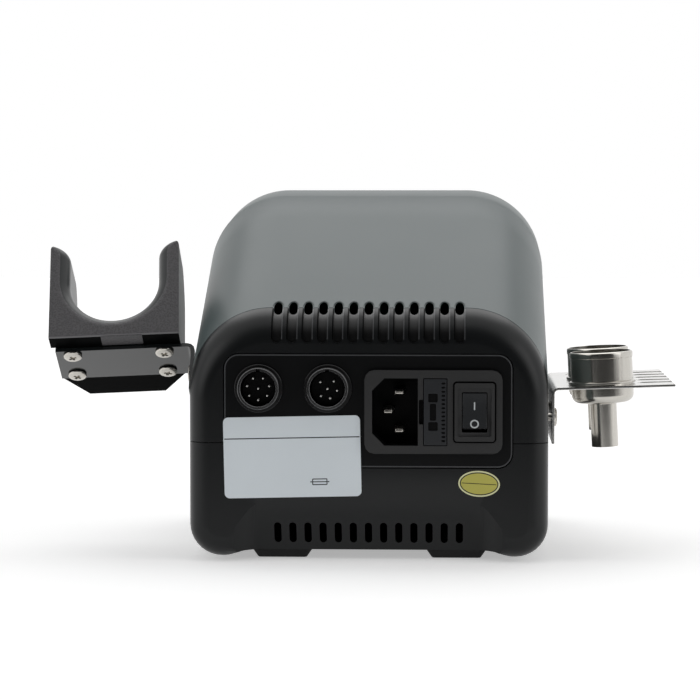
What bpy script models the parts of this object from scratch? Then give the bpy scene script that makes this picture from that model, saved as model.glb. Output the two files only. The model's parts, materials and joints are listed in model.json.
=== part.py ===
"""Two-in-one hot air rework station: housing, rear connectors, gun cradle and nozzle rack.

Metres, +Z up. The control face looks towards -Y and the rear face towards +Y.
Depths are measured from the rear face towards the front, heights from the floor.
"""

from math import atan, cos, pi, radians, sin, tan

import bmesh
import bpy
from mathutils import Matrix, Vector

MM = 0.001

# Clearances
GAP = 0.3 * MM
REACH = 5.0 * MM
OVERLAP = 0.5 * MM

# Housing
BODY_WIDTH = 132.0 * MM
BODY_DEPTH = 150.0 * MM
REAR_HEIGHT = 88.3 * MM
TOP_SLOPE = radians(25.2)
BAND_DEPTH = 28.5 * MM
BAND_SLOPE = radians(5.4)
FRONT_LEAN = 25.0 * MM
RIDGE_DEPTH = BODY_DEPTH - FRONT_LEAN - BAND_DEPTH
ARCH_RADIUS = 30.0 * MM
BOTTOM_RADIUS = 12.0 * MM
REAR_FILLET = 8.0 * MM
FRONT_FILLET = 5.0 * MM
INNER_FILLET = 1.5 * MM
WALL = 2.5 * MM
LEG_HEIGHT = 1.5 * MM
UNDERSIDE_HEIGHT = 3.5 * MM
LEG_WIDTH = 22.5 * MM
UNDERSIDE_WIDTH = BODY_WIDTH - 2 * LEG_WIDTH
SEAM_HEIGHT = 43.9 * MM
BEZEL_DEPTH = 10.0 * MM

# Vent slots
VENT_COUNT = 13
VENT_PITCH = 5.57 * MM
UPPER_VENT_WIDTH = 3.3 * MM
UPPER_VENT_LOW = 80.6 * MM
UPPER_VENT_HIGH = 94.7 * MM
UPPER_VENT_OPEN_FROM = 89.0 * MM
UPPER_VENT_GROOVE = 1.6 * MM
LOWER_VENT_WIDTH = 2.65 * MM
LOWER_VENT_LOW = 6.3 * MM
LOWER_VENT_HIGH = 14.2 * MM
SCOOP_HEIGHT = 21.5 * MM
SCOOP_DEPTH = 10.0 * MM
SCOOP_SIDE = 19.5 * MM
SCOOP_WIDTH = BODY_WIDTH - 2 * SCOOP_SIDE
SCOOP_TAPER = 3.0 * MM

# Screws: head radius, head height, shank radius
SCREW_M3 = (3.3 * MM, 2.1 * MM, 1.5 * MM)
SCREW_SMALL = (2.6 * MM, 1.8 * MM, 1.3 * MM)
SCREW_FIT = 0.2 * MM
HEAD_EDGE = 0.45
HEAD_CROWN = 0.65

# Housing screw posts and rubber feet
POST_INSET = 10.0 * MM
POST_REAR = 23.0 * MM
POST_FRONT = 33.0 * MM
POST_RADIUS = 4.0 * MM
HOUSING_SCREW_LENGTH = 50.0 * MM
COUNTERBORE_DEPTH = 2.6 * MM
FOOT_INSET = 13.0 * MM
FOOT_SETBACK = 28.0 * MM
FOOT_RADIUS = 11.0 * MM
FOOT_TIP_RADIUS = 9.5 * MM
FOOT_STEM_RADIUS = 3.0 * MM
FOOT_STEM_LENGTH = 5.5 * MM
FOOT_STEM_TIP = 2.1 * MM
FOOT_BARB_RADIUS = 3.9 * MM
FOOT_EDGE = 1.6 * MM

# Rear panel
PANEL_SIDE = 13.25 * MM
PANEL_WIDTH = BODY_WIDTH - 2 * PANEL_SIDE
PANEL_HEIGHT = 41.5 * MM
PANEL_CENTRE_Z = 55.7 * MM
PANEL_RADIUS = 5.4 * MM
PANEL_RECESS = 0.4 * MM
PANEL_FLANGE = 1.5 * MM
PANEL_FLANGE_THICKNESS = 1.5 * MM

# Aviation sockets
SOCKET_Z = 63.9 * MM
SOCKET_INSET = 12.75 * MM
SOCKET_PITCH = 25.3 * MM
GUN_SOCKET_X = PANEL_WIDTH / 2 - SOCKET_INSET
IRON_SOCKET_X = GUN_SOCKET_X - SOCKET_PITCH
SOCKET_BARREL_RADIUS = 7.7 * MM
SOCKET_BORE_RADIUS = 6.5 * MM
SOCKET_COLLAR_RADIUS = 8.8 * MM
SOCKET_COLLAR_THICKNESS = 1.2 * MM
SOCKET_PROUD = 4.2 * MM
SOCKET_LENGTH = 17.0 * MM
SOCKET_INSERT_DEPTH = 5.2 * MM
SOCKET_NUT_SPAN = 19.0 * MM
SOCKET_NUT_THICKNESS = 2.2 * MM
SOCKET_PIN_RADIUS = 0.5 * MM
SOCKET_PIN_PROUD = 4.0 * MM
SOCKET_TAIL = 4.0 * MM
GUN_PINS = 8
GUN_PIN_CIRCLE = 4.2 * MM
IRON_PINS = 6
IRON_PIN_CIRCLE = 3.9 * MM
SOCKET_KEY_WIDTH = 1.4 * MM
SOCKET_KEY_DEPTH = 0.9 * MM

# Mains module: inlet, fuse drawer and rocker switch in one moulding
MODULE_INSET = 3.7 * MM
MODULE_WIDTH = 50.3 * MM
MODULE_X = MODULE_INSET + MODULE_WIDTH / 2 - PANEL_WIDTH / 2
MODULE_Z = 55.5 * MM
MODULE_HEIGHT = 30.6 * MM
MODULE_RADIUS = 3.6 * MM
MODULE_FLANGE = 2.0 * MM
MODULE_BODY_WIDTH = 47.4 * MM
MODULE_BODY_HEIGHT = 27.4 * MM
MODULE_BODY_DEPTH = 27.0 * MM
MODULE_BODY_RADIUS = 1.0 * MM
INLET_OFFSET = 14.0 * MM
INLET_X = MODULE_X + INLET_OFFSET
INLET_WIDTH = 16.7 * MM
INLET_HEIGHT = 24.6 * MM
INLET_CHAMFER = 4.5 * MM
INLET_DEPTH = 16.5 * MM
INLET_FLOOR = 3.0 * MM
INLET_PIT_RADIUS = 1.0 * MM
BLADE_PITCH = 14.0 * MM
BLADE_OFFSET = 12.5 * MM
BLADE_X = MODULE_X + BLADE_OFFSET
EARTH_SHIFT = 4.1 * MM
BLADE_WIDTH = 4.0 * MM
BLADE_THICKNESS = 2.0 * MM
BLADE_RADIUS = 0.5 * MM
BLADE_TIP = (2.8 * MM, 1.0 * MM)
BLADE_TIP_RADIUS = 0.3 * MM
BLADE_TAPER = 1.0 * MM
BLADE_PROUD = 13.5 * MM
BLADE_TAIL = 8.0 * MM
DRAWER_OFFSET = 0.65 * MM
DRAWER_X = MODULE_X - DRAWER_OFFSET
DRAWER_WIDTH = 8.3 * MM
DRAWER_HEIGHT = 24.2 * MM
DRAWER_LENGTH = 20.0 * MM
DRAWER_WALL = 1.3 * MM
DRAWER_FACE = 2.2 * MM
RECESS_DEPTH = 0.5 * MM
RECESS_SHIFT = 0.8 * MM
LATCH_SIZE = (3.5 * MM, 3.2 * MM)
LATCH_RISE = 5.2 * MM
LATCH_SLOT = (2.3 * MM, 6.2 * MM)
GRIP_WIDTH = 1.5 * MM
GRIP_INSET = 0.4 * MM
GRIP_PITCH = 1.5 * MM
GRIP_COUNT = 15
NOTCH_WIDTH = 2.0 * MM
NOTCH_HEIGHT = 9.0 * MM
NOTCH_DEPTH = 2.5 * MM
FUSE_RADIUS = 2.5 * MM
FUSE_CAP_RADIUS = 2.6 * MM
FUSE_LENGTH = 20.0 * MM
FUSE_CAP_LENGTH = 5.0 * MM
SWITCH_OFFSET = 15.0 * MM
SWITCH_X = MODULE_X - SWITCH_OFFSET
SWITCH_BEZEL_WIDTH = 14.6 * MM
SWITCH_BEZEL_HEIGHT = 21.3 * MM
SWITCH_BEZEL_PROUD = 1.0 * MM
SWITCH_BEZEL_RADIUS = 0.8 * MM
SWITCH_WELL_WIDTH = 9.3 * MM
SWITCH_WELL_HEIGHT = 14.7 * MM
SWITCH_WELL_DEPTH = 9.0 * MM
ROCKER_HALF = 6.4 * MM
ROCKER_BACK_HALF = 5.5 * MM
ROCKER_ANGLE = radians(10.0)
ROCKER_PIVOT_DEPTH = 3.0 * MM
ROCKER_THICKNESS = 5.0 * MM
ROCKER_PIN_RADIUS = 1.0 * MM
ROCKER_PIN_LENGTH = 0.9 * MM

# Gun cradle and its bracket
CRADLE_TILT = radians(33.0)
CRADLE_DROOP = radians(3.0)
CRADLE_OFFSET = 29.5 * MM
CRADLE_X = BODY_WIDTH / 2 + CRADLE_OFFSET
CRADLE_DEPTH = 25.0 * MM
CRADLE_Z = 81.8 * MM
CRADLE_WIDTH = 47.3 * MM
CRADLE_HEIGHT = 41.4 * MM
CRADLE_LENGTH = 44.4 * MM
CRADLE_ARM_LENGTH = 28.0 * MM
CRADLE_ARM_RADIUS = 18.0 * MM
CRADLE_BASE_THICKNESS = 7.0 * MM
CRADLE_CHANNEL_RADIUS = 16.9 * MM
CRADLE_MOUTH_RADIUS = 21.9 * MM
CRADLE_MOUTH_LENGTH = 6.0 * MM
CRADLE_CHANNEL_HEIGHT = 26.5 * MM
CRADLE_TIP_RADIUS = 6.0 * MM
CRADLE_CHAMFER = (8.9 * MM, 13.4 * MM)
STRIP_WIDTH = 20.7 * MM
STRIP_THICKNESS = 1.5 * MM
STRIP_SETBACK = 7.5 * MM
STRIP_BEND = 1.5 * MM
STRIP_FLANGE = 19.0 * MM
CRADLE_SCREW_SPAN = 34.7 * MM
CRADLE_SCREW_ROWS = 14.6 * MM
CRADLE_SCREW_LENGTH = 8.0 * MM
WALL_SCREW_SPAN = 12.0 * MM
WALL_SCREW_DROP = 11.0 * MM
WALL_SCREW_LENGTH = 8.0 * MM

# Nozzle rack and nozzles
RACK_DEPTH = 25.0 * MM
RACK_LENGTH = 84.0 * MM
RACK_HEIGHT = 62.5 * MM
RACK_REACH = 47.7 * MM
RACK_RISE = radians(1.9)
RACK_PAD = 1.5 * MM
RACK_PAD_RADIUS = 5.0 * MM
RACK_THICKNESS = 1.0 * MM
RACK_BEND = 1.4 * MM
RACK_DROP = 21.0 * MM
RACK_HOLE_RADIUS = 11.9 * MM
RACK_HOLE_OFFSET = 21.2 * MM
RACK_PITCH = 28.0 * MM
SLIT_PITCH = 14.0 * MM
SLIT_WIDTH = 5.5 * MM
SLIT_LENGTH = 13.3 * MM
RACK_SCREW_DROP = 12.0 * MM
RACK_SCREW_SPAN = 56.0 * MM
NOZZLE_RADIUS = 11.4 * MM
NOZZLE_WALL = 0.7 * MM
NOZZLE_BEAD = 12.5 * MM
NOZZLE_BEAD_HEIGHT = 0.8 * MM
NOZZLE_ABOVE = 11.4 * MM
NOZZLE_BELOW = 7.3 * MM
NOZZLE_RIM = 2.4 * MM
NOZZLE_RIM_PROUD = 0.2 * MM
NOZZLE_FILLET = 3.0 * MM
NOZZLE_TUBES = ((4.8 * MM, 16.7 * MM), (4.7 * MM, 12.7 * MM))

# Front panel and controls
FASCIA_BORDER = 8.0 * MM
FASCIA_LOW = 7.0 * MM
FASCIA_RADIUS = 5.0 * MM
FASCIA_PROUD = 0.6 * MM
FASCIA_LIP = 2.0 * MM
FASCIA_LIP_THICKNESS = 1.2 * MM
WINDOW_SIDE = 8.0 * MM
WINDOW_DROP = 8.7 * MM
WINDOW_HEIGHT = 30.0 * MM
WINDOW_SHARE = 0.57
WINDOW_RADIUS = 2.0 * MM
WINDOW_THICKNESS = 2.4 * MM
DISPLAY_BORDER = 2.0 * MM
DISPLAY_THICKNESS = 6.0 * MM
KEY_COUNT = 5
KEY_SPREAD = 40.0 * MM
KEY_SHARE = 0.684
KEY_LENGTH = 8.0 * MM
KEY_RADIUS = 2.0 * MM
KEY_RISE = 18.2 * MM
KEY_PROUD = 1.6 * MM
KEY_LIP = 1.0 * MM
KEY_LIP_THICKNESS = 1.0 * MM
KEY_TRAVEL = 0.8 * MM
SWITCH_SIZE = 6.0 * MM
KNOB_SIDE = 21.0 * MM
KNOB_DROP = 27.7 * MM
KNOB_RADIUS = 12.5 * MM
KNOB_TOP_RADIUS = 11.3 * MM
KNOB_HEIGHT = 13.0 * MM
KNOB_WALL = 1.6 * MM
KNOB_HUB_RADIUS = 5.0 * MM
KNOB_GRIPS = 15
KNOB_GRIP_RADIUS = 0.9 * MM
KNOB_CHAMFER = 1.0 * MM
KNOB_MARK = (1.4 * MM, 0.6 * MM)
KNOB_MARK_START = 4.5 * MM
SHAFT_RADIUS = 3.0 * MM
SHAFT_PROUD = 11.0 * MM
BUSH_RADIUS = 4.5 * MM
DIAL_BODY = 15.0 * MM
DIAL_BODY_THICKNESS = 4.0 * MM
BOARD_THICKNESS = 1.6 * MM
BOARD_RADIUS = 1.0 * MM
CONTROL_BOARD_SIDE = 9.0 * MM
CONTROL_BOARD_MARGIN = 3.4 * MM
STANDOFF_RADIUS = 3.0 * MM
STANDOFF_INSET = 4.5 * MM

# Power electronics
POWER_BOARD_SIDE = 22.0 * MM
POWER_BOARD_REAR = 35.0 * MM
POWER_BOARD_FRONT = 23.0 * MM
POWER_BOARD_HEIGHT = 15.0 * MM
BOSS_RADIUS = 3.5 * MM
BOSS_INSET = 5.0 * MM
BOARD_SCREW_LENGTH = 7.0 * MM
CORE_SIZE = (48.0 * MM, 20.0 * MM, 40.0 * MM)
CORE_CENTRE = (18.0 * MM, -12.0 * MM)
COIL_SIZE = (30.0 * MM, 36.0 * MM, 26.0 * MM)
COIL_RADIUS = 3.0 * MM
HEATSINK_SIZE = (12.0 * MM, 50.0 * MM, 30.0 * MM)
HEATSINK_INSET = 14.0 * MM
HEATSINK_SHIFT = 4.0 * MM
HEATSINK_BASE = 3.0 * MM
HEATSINK_FINS = 9
FIN_THICKNESS = 1.4 * MM
CAPACITOR_RADIUS = 9.0 * MM
CAPACITOR_HEIGHT = 22.0 * MM
CAPACITOR_CENTRE = (-6.0 * MM, 25.0 * MM)
CAPACITOR_CHAMFER = 1.0 * MM

# Facets
ARCH_STEPS = 7
CORNER_STEPS = 3
SMALL_STEPS = 2
ROUND_STEPS = 24
SMALL_ROUND_STEPS = 10
PIN_STEPS = 6
SMOOTH_ANGLE = radians(32.0)

HALF_WIDTH = BODY_WIDTH / 2
REAR_Y = BODY_DEPTH / 2
FRONT_Y = -BODY_DEPTH / 2
POST_X = HALF_WIDTH - POST_INSET
POST_Y = (REAR_Y - POST_REAR, FRONT_Y + POST_FRONT)
FOOT_X = UNDERSIDE_WIDTH / 2 - FOOT_INSET
FOOT_Y = REAR_Y - FOOT_SETBACK
POWER_BOARD_SIZE = (BODY_WIDTH - 2 * POWER_BOARD_SIDE, BODY_DEPTH - POWER_BOARD_REAR - POWER_BOARD_FRONT)
POWER_BOARD_Y = (POWER_BOARD_FRONT - POWER_BOARD_REAR) / 2
HEATSINK_CENTRE = (HEATSINK_INSET - POWER_BOARD_SIZE[0] / 2, POWER_BOARD_Y - HEATSINK_SHIFT)


def top_line(depth):
    """Height of the roof at a depth from the rear face."""
    slope = tan(TOP_SLOPE) * min(depth, RIDGE_DEPTH)
    band = tan(BAND_SLOPE) * max(depth - RIDGE_DEPTH, 0.0)
    return REAR_HEIGHT + slope + band


FRONT_TOP = top_line(BODY_DEPTH - FRONT_LEAN)
FRONT_TILT = atan(FRONT_LEAN / FRONT_TOP)
FASCIA_HALF = HALF_WIDTH - FASCIA_BORDER
FASCIA_BOTTOM = (SEAM_HEIGHT + FASCIA_LOW) / cos(FRONT_TILT)
FASCIA_TOP = FRONT_TOP / cos(FRONT_TILT) - FASCIA_BORDER
WINDOW_SIZE = (2 * FASCIA_HALF * WINDOW_SHARE, WINDOW_HEIGHT)
WINDOW_CENTRE = (WINDOW_SIDE + WINDOW_SIZE[0] / 2 - FASCIA_HALF, FASCIA_TOP - WINDOW_DROP - WINDOW_HEIGHT / 2)
KEY_PITCH = (2 * FASCIA_HALF - KEY_SPREAD) / (KEY_COUNT - 1)
KEY_SIZE = (KEY_PITCH * KEY_SHARE, KEY_LENGTH)
KEY_HEIGHT = FASCIA_BOTTOM + KEY_RISE
KNOB_CENTRE = (FASCIA_HALF - KNOB_SIDE, FASCIA_TOP - KNOB_DROP)
CONTROL_BOARD_SIZE = (
    2 * (FASCIA_HALF - CONTROL_BOARD_SIDE), FASCIA_TOP - FASCIA_BOTTOM - 2 * CONTROL_BOARD_MARGIN,
)
CONTROL_BOARD_CENTRE = (0.0, (FASCIA_TOP + FASCIA_BOTTOM) / 2)

FRONT_FRAME = Matrix.Translation((0.0, FRONT_Y, 0.0)) @ Matrix.Rotation(pi / 2 - FRONT_TILT, 4, "X")
CRADLE_FRAME = (
    Matrix.Translation((CRADLE_X, REAR_Y - CRADLE_DEPTH, CRADLE_Z))
    @ Matrix.Rotation(CRADLE_TILT, 4, "X")
    @ Matrix.Rotation(CRADLE_DROOP, 4, "Y")
)


def clear_scene():
    """Start from an empty scene."""
    for item in list(bpy.data.objects):
        bpy.data.objects.remove(item)


def material(name, colour, roughness, metallic=0.0):
    """A Principled BSDF finish."""
    finish = bpy.data.materials.new(name)
    finish.use_nodes = True
    shader = finish.node_tree.nodes["Principled BSDF"]
    shader.inputs["Base Color"].default_value = (*colour, 1.0)
    shader.inputs["Roughness"].default_value = roughness
    shader.inputs["Metallic"].default_value = metallic
    return finish


def arc(centre_a, centre_b, radius, start, end, steps):
    """Points of an arc, both ends included."""
    angles = [start + (end - start) * i / steps for i in range(steps + 1)]
    return [(centre_a + radius * cos(a), centre_b + radius * sin(a)) for a in angles]


def rounded_rectangle(centre_a, centre_b, width, height, radius, steps=CORNER_STEPS):
    """Closed outline with four round corners."""
    points = []
    for turn, (side_a, side_b) in enumerate(((1, 1), (-1, 1), (-1, -1), (1, -1))):
        corner_a = centre_a + side_a * (width / 2 - radius)
        corner_b = centre_b + side_b * (height / 2 - radius)
        points += arc(corner_a, corner_b, radius, turn * pi / 2, (turn + 1) * pi / 2, steps)
    return points


def circle(centre_a, centre_b, radius, steps=ROUND_STEPS):
    """Closed round outline."""
    return arc(centre_a, centre_b, radius, 0.0, 2 * pi, steps)[:-1]


def arch(half_width, low, high, top_radius, bottom_radius):
    """Outline of a cross-section: large round shoulders above, small round corners below."""
    shoulder = half_width - top_radius
    corner = half_width - bottom_radius
    return (
        arc(shoulder, high - top_radius, top_radius, 0.0, pi / 2, ARCH_STEPS)
        + arc(-shoulder, high - top_radius, top_radius, pi / 2, pi, ARCH_STEPS)
        + arc(-corner, low + bottom_radius, bottom_radius, pi, 3 * pi / 2, CORNER_STEPS)
        + arc(corner, low + bottom_radius, bottom_radius, 3 * pi / 2, 2 * pi, CORNER_STEPS)
    )


def spot(point, level, axis):
    """A point of an outline set at a level along an axis."""
    a, b = point
    return {"X": (level, a, b), "Y": (a, level, b), "Z": (a, b, level)}[axis]


def loft(rings):
    """Closed solid through rings of equal count, capped at both ends."""
    solid = bmesh.new()
    loops = [[solid.verts.new(point) for point in ring] for ring in rings]
    count = len(loops[0])
    for near, far in zip(loops, loops[1:]):
        for i in range(count):
            j = (i + 1) % count
            solid.faces.new((near[i], near[j], far[j], far[i]))
    solid.faces.new(loops[0])
    solid.faces.new(loops[-1])
    bmesh.ops.recalc_face_normals(solid, faces=solid.faces)
    return solid


def prism(outline, low, high, axis):
    """Straight extrusion of an outline between two levels."""
    return loft([[spot(point, level, axis) for point in outline] for level in (low, high)])


def box(low, high):
    """Block between two corners."""
    outline = ((low[0], low[1]), (high[0], low[1]), (high[0], high[1]), (low[0], high[1]))
    return prism(outline, low[2], high[2], "Z")


def lathe(profile, steps=ROUND_STEPS):
    """Turned solid about Z from (radius, height) points; a profile off the axis closes on itself."""
    solid = bmesh.new()
    rings = []
    for radius, height in profile:
        around = steps if radius > 0.0 else 1
        angles = [2 * pi * i / steps for i in range(around)]
        rings.append([solid.verts.new((radius * cos(a), radius * sin(a), height)) for a in angles])
    following = rings[1:] + (rings[:1] if profile[0][0] > 0.0 else [])
    for near, far in zip(rings, following):
        for i in range(steps):
            j = (i + 1) % steps
            corners = (near[i % len(near)], near[j % len(near)], far[j % len(far)], far[i % len(far)])
            corners = list(dict.fromkeys(corners))
            if len(corners) > 2:
                solid.faces.new(corners)
    bmesh.ops.recalc_face_normals(solid, faces=solid.faces)
    return solid


def rod(radius, low, high, steps=SMALL_ROUND_STEPS):
    """Plain round bar about Z."""
    return lathe(((0.0, low), (radius, low), (radius, high), (0.0, high)), steps)


def moved(solid, matrix):
    """The same shape in another frame."""
    solid.transform(matrix)
    return solid


def at(x, y, z):
    """Shift by a vector."""
    return Matrix.Translation((x, y, z))


# Turns that point a Z-axis shape along another axis
TOWARDS_REAR = Matrix.Rotation(-pi / 2, 4, "X")
TOWARDS_LEFT = Matrix.Rotation(pi / 2, 4, "Y")
TOWARDS_RIGHT = Matrix.Rotation(-pi / 2, 4, "Y")
UPSIDE_DOWN = Matrix.Rotation(pi, 4, "X")


def joined(solids):
    """Several shapes held in one mesh."""
    whole = bpy.data.meshes.new("tool")
    gathered = bmesh.new()
    for solid in solids:
        solid.to_mesh(whole)
        solid.free()
        gathered.from_mesh(whole)
    bpy.data.meshes.remove(whole)
    return gathered


def add(name, solid, finish=None, origin=(0.0, 0.0, 0.0), parent=None):
    """Object from a mesh drawn in its parent's frame, with its origin at a chosen point."""
    solid.transform(Matrix.Translation(-Vector(origin)))
    mesh = bpy.data.meshes.new(name)
    solid.to_mesh(mesh)
    solid.free()
    item = bpy.data.objects.new(name, mesh)
    bpy.context.scene.collection.objects.link(item)
    item.location = origin
    if parent:
        item.parent = parent
    if finish:
        mesh.materials.append(finish)
    return item


def combine(item, solids, operation):
    """Boolean an object with shapes drawn in the same frame, and keep the result as its mesh."""
    tool = add(item.name + "_tool", joined(solids))
    tool.matrix_world = Matrix.Translation(item.location)
    tool.data.transform(Matrix.Translation(-item.location))
    home = item.parent
    item.parent = None
    tool.hide_render = True
    tool.display_type = "WIRE"
    change = item.modifiers.new("shape", "BOOLEAN")
    change.operation = operation
    change.solver = "EXACT"
    change.object = tool
    graph = bpy.context.evaluated_depsgraph_get()
    result = bpy.data.meshes.new_from_object(item.evaluated_get(graph))
    item.modifiers.clear()
    item.data = result
    item.parent = home
    bpy.data.objects.remove(tool)


def cut(item, *solids):
    """Take shapes that don't touch each other away from an object."""
    combine(item, solids, "DIFFERENCE")


def fuse(item, *solids):
    """Grow an object by shapes that don't touch each other."""
    combine(item, solids, "UNION")


def keep(item, solid):
    """Keep only what lies inside a shape."""
    combine(item, [solid], "INTERSECT")


def trimmed(solid, other, operation):
    """Boolean of two shapes, as a shape."""
    item = add("trimmed", solid)
    combine(item, [other], operation)
    result = bmesh.new()
    result.from_mesh(item.data)
    bpy.data.objects.remove(item)
    return result


def frame_empty(name, matrix):
    """Empty that carries the pieces drawn in a turned frame."""
    empty = bpy.data.objects.new(name, None)
    empty.matrix_world = matrix
    bpy.context.scene.collection.objects.link(empty)
    return empty


def housing_solid(inset, low):
    """The housing's outer form, moved inwards by an inset and cut off level at its lowest height."""
    rear_radius = max(REAR_FILLET - inset, INNER_FILLET)
    front_radius = max(FRONT_FILLET - inset, INNER_FILLET)
    rings = []

    def section(shrink, top):
        return arch(
            HALF_WIDTH - shrink,
            low + shrink - inset,
            top - shrink,
            ARCH_RADIUS - shrink,
            max(BOTTOM_RADIUS - shrink, INNER_FILLET),
        )

    for i in range(CORNER_STEPS + 1):
        turn = i * pi / 2 / CORNER_STEPS
        depth = inset + rear_radius * (1 - cos(turn))
        outline = section(inset + rear_radius * (1 - sin(turn)), top_line(depth))
        rings.append([(x, REAR_Y - depth, z) for x, z in outline])
    outline = section(inset, top_line(RIDGE_DEPTH))
    rings.append([(x, REAR_Y - RIDGE_DEPTH, z) for x, z in outline])
    for i in range(CORNER_STEPS, -1, -1):
        turn = i * pi / 2 / CORNER_STEPS
        depth = inset + front_radius * (1 - cos(turn))
        outline = section(
            inset + front_radius * (1 - sin(turn)),
            top_line(BODY_DEPTH - FRONT_LEAN - depth),
        )
        face_y = FRONT_Y + depth / cos(FRONT_TILT)
        rings.append([(x, face_y + z * tan(FRONT_TILT), z) for x, z in outline])
    return loft(rings)


def outer_solid():
    """Outside of the housing."""
    return housing_solid(0.0, LEG_HEIGHT)


def scoop(grow):
    """Slanted hollow under the rear face, where the lower vents are."""
    slant = SCOOP_DEPTH / (SCOOP_HEIGHT - UNDERSIDE_HEIGHT)
    shift = grow / cos(atan(slant))
    outside = -REACH
    points = (
        (outside, SCOOP_HEIGHT - outside / slant),
        (SCOOP_DEPTH, UNDERSIDE_HEIGHT),
        (SCOOP_DEPTH, -REACH),
        (outside, -REACH),
    )
    rings = []
    for side in (-1, 1):
        ring = []
        for depth, height in points:
            half = SCOOP_WIDTH / 2 + grow - SCOOP_TAPER * depth / SCOOP_DEPTH
            ring.append((side * half, REAR_Y - depth - shift, height))
        rings.append(ring)
    return loft(rings)


def inner_solid():
    """Room inside the housing's walls."""
    floor = UNDERSIDE_HEIGHT + WALL
    return trimmed(housing_solid(WALL, floor), scoop(WALL), "DIFFERENCE")


def vent_x():
    """Centres of one row of vents."""
    return [(i - (VENT_COUNT - 1) / 2) * VENT_PITCH for i in range(VENT_COUNT)]


def vent_row(width, low, high, front, rear):
    """One row of slots with round ends, drawn through from the rear."""
    middle = (low + high) / 2
    return joined(
        prism(rounded_rectangle(x, middle, width, high - low, width / 2, SMALL_STEPS), front, rear, "Y")
        for x in vent_x()
    )


def upper_vent_tools():
    """Shallow grooves over the rear shoulder, opening through the wall at their upper ends."""
    rear = REAR_Y + REACH
    front = REAR_Y - 2 * BEZEL_DEPTH
    row = vent_row(UPPER_VENT_WIDTH, UPPER_VENT_LOW, UPPER_VENT_HIGH, front, rear)
    floor = housing_solid(UPPER_VENT_GROOVE, LEG_HEIGHT)
    grooves = trimmed(row, floor, "DIFFERENCE")
    holes = vent_row(UPPER_VENT_WIDTH, UPPER_VENT_OPEN_FROM, UPPER_VENT_HIGH, front, rear)
    return grooves, holes


def panel_outline(grow):
    """Outline of the rear panel."""
    return rounded_rectangle(
        0.0, PANEL_CENTRE_Z, PANEL_WIDTH + 2 * grow, PANEL_HEIGHT + 2 * grow, PANEL_RADIUS + grow
    )


def panel_opening():
    """Hole in the rear wall for the panel."""
    return prism(panel_outline(GAP), REAR_Y - BEZEL_DEPTH, REAR_Y + REACH, "Y")


def corners(x, y):
    """Four places, mirrored about both centre planes."""
    return [(side_x * x, side_y * y) for side_y in (1, -1) for side_x in (1, -1)]


def post_places():
    """Places of the housing screws and their posts."""
    return [(side * POST_X, y) for y in POST_Y for side in (1, -1)]


def board_corners():
    """Places of the power board's screws."""
    x = POWER_BOARD_SIZE[0] / 2 - BOSS_INSET
    y = POWER_BOARD_SIZE[1] / 2 - BOSS_INSET
    return [(px, py + POWER_BOARD_Y) for px, py in corners(x, y)]


def wall_screw_places():
    """Places of the bracket's wall screws, in the cradle's frame along the strip."""
    middle = -STRIP_SETBACK - STRIP_WIDTH / 2
    return [middle + side * WALL_SCREW_SPAN / 2 for side in (1, -1)]


def wall_point(v):
    """Centre of a bracket wall screw on the outside of the flange, in body coordinates."""
    start = CRADLE_FRAME @ Vector((-CRADLE_WIDTH / 2, v, 0.0))
    drop = Matrix.Rotation(CRADLE_TILT, 3, "X") @ Vector((0.0, 0.0, -WALL_SCREW_DROP))
    point = start + drop
    return Vector((HALF_WIDTH + GAP + STRIP_THICKNESS + GAP, point.y, point.z))


def rack_screw_y():
    """Depths of the rack's wall screws."""
    middle = REAR_Y - RACK_DEPTH - RACK_LENGTH / 2
    return [middle + side * RACK_SCREW_SPAN / 2 for side in (1, -1)]


def rack_screw_point(y):
    """Centre of a rack screw on the outside of the flange."""
    x = -(HALF_WIDTH + RACK_PAD + GAP + RACK_THICKNESS + GAP)
    return Vector((x, y, RACK_HEIGHT - RACK_SCREW_DROP))


def wall_screw_holes():
    """Holes through the cover's side walls for the cradle's bracket and the nozzle rack."""
    radius = SCREW_M3[2] + SCREW_FIT
    reach = WALL_SCREW_LENGTH + REACH
    left = [at(*wall_point(v)) @ TOWARDS_LEFT for v in wall_screw_places()]
    right = [at(*rack_screw_point(y)) @ TOWARDS_RIGHT for y in rack_screw_y()]
    return [moved(rod(radius, -reach, REACH), place) for place in left + right]


def rack_pads():
    """Round pads on the side wall that hold the rack's flange clear of it."""
    inside, outside = -HALF_WIDTH + WALL / 2, -HALF_WIDTH - RACK_PAD
    height = RACK_HEIGHT - RACK_SCREW_DROP
    return [
        prism(circle(y, height, RACK_PAD_RADIUS, SMALL_ROUND_STEPS), outside, inside, "X")
        for y in rack_screw_y()
    ]


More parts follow.
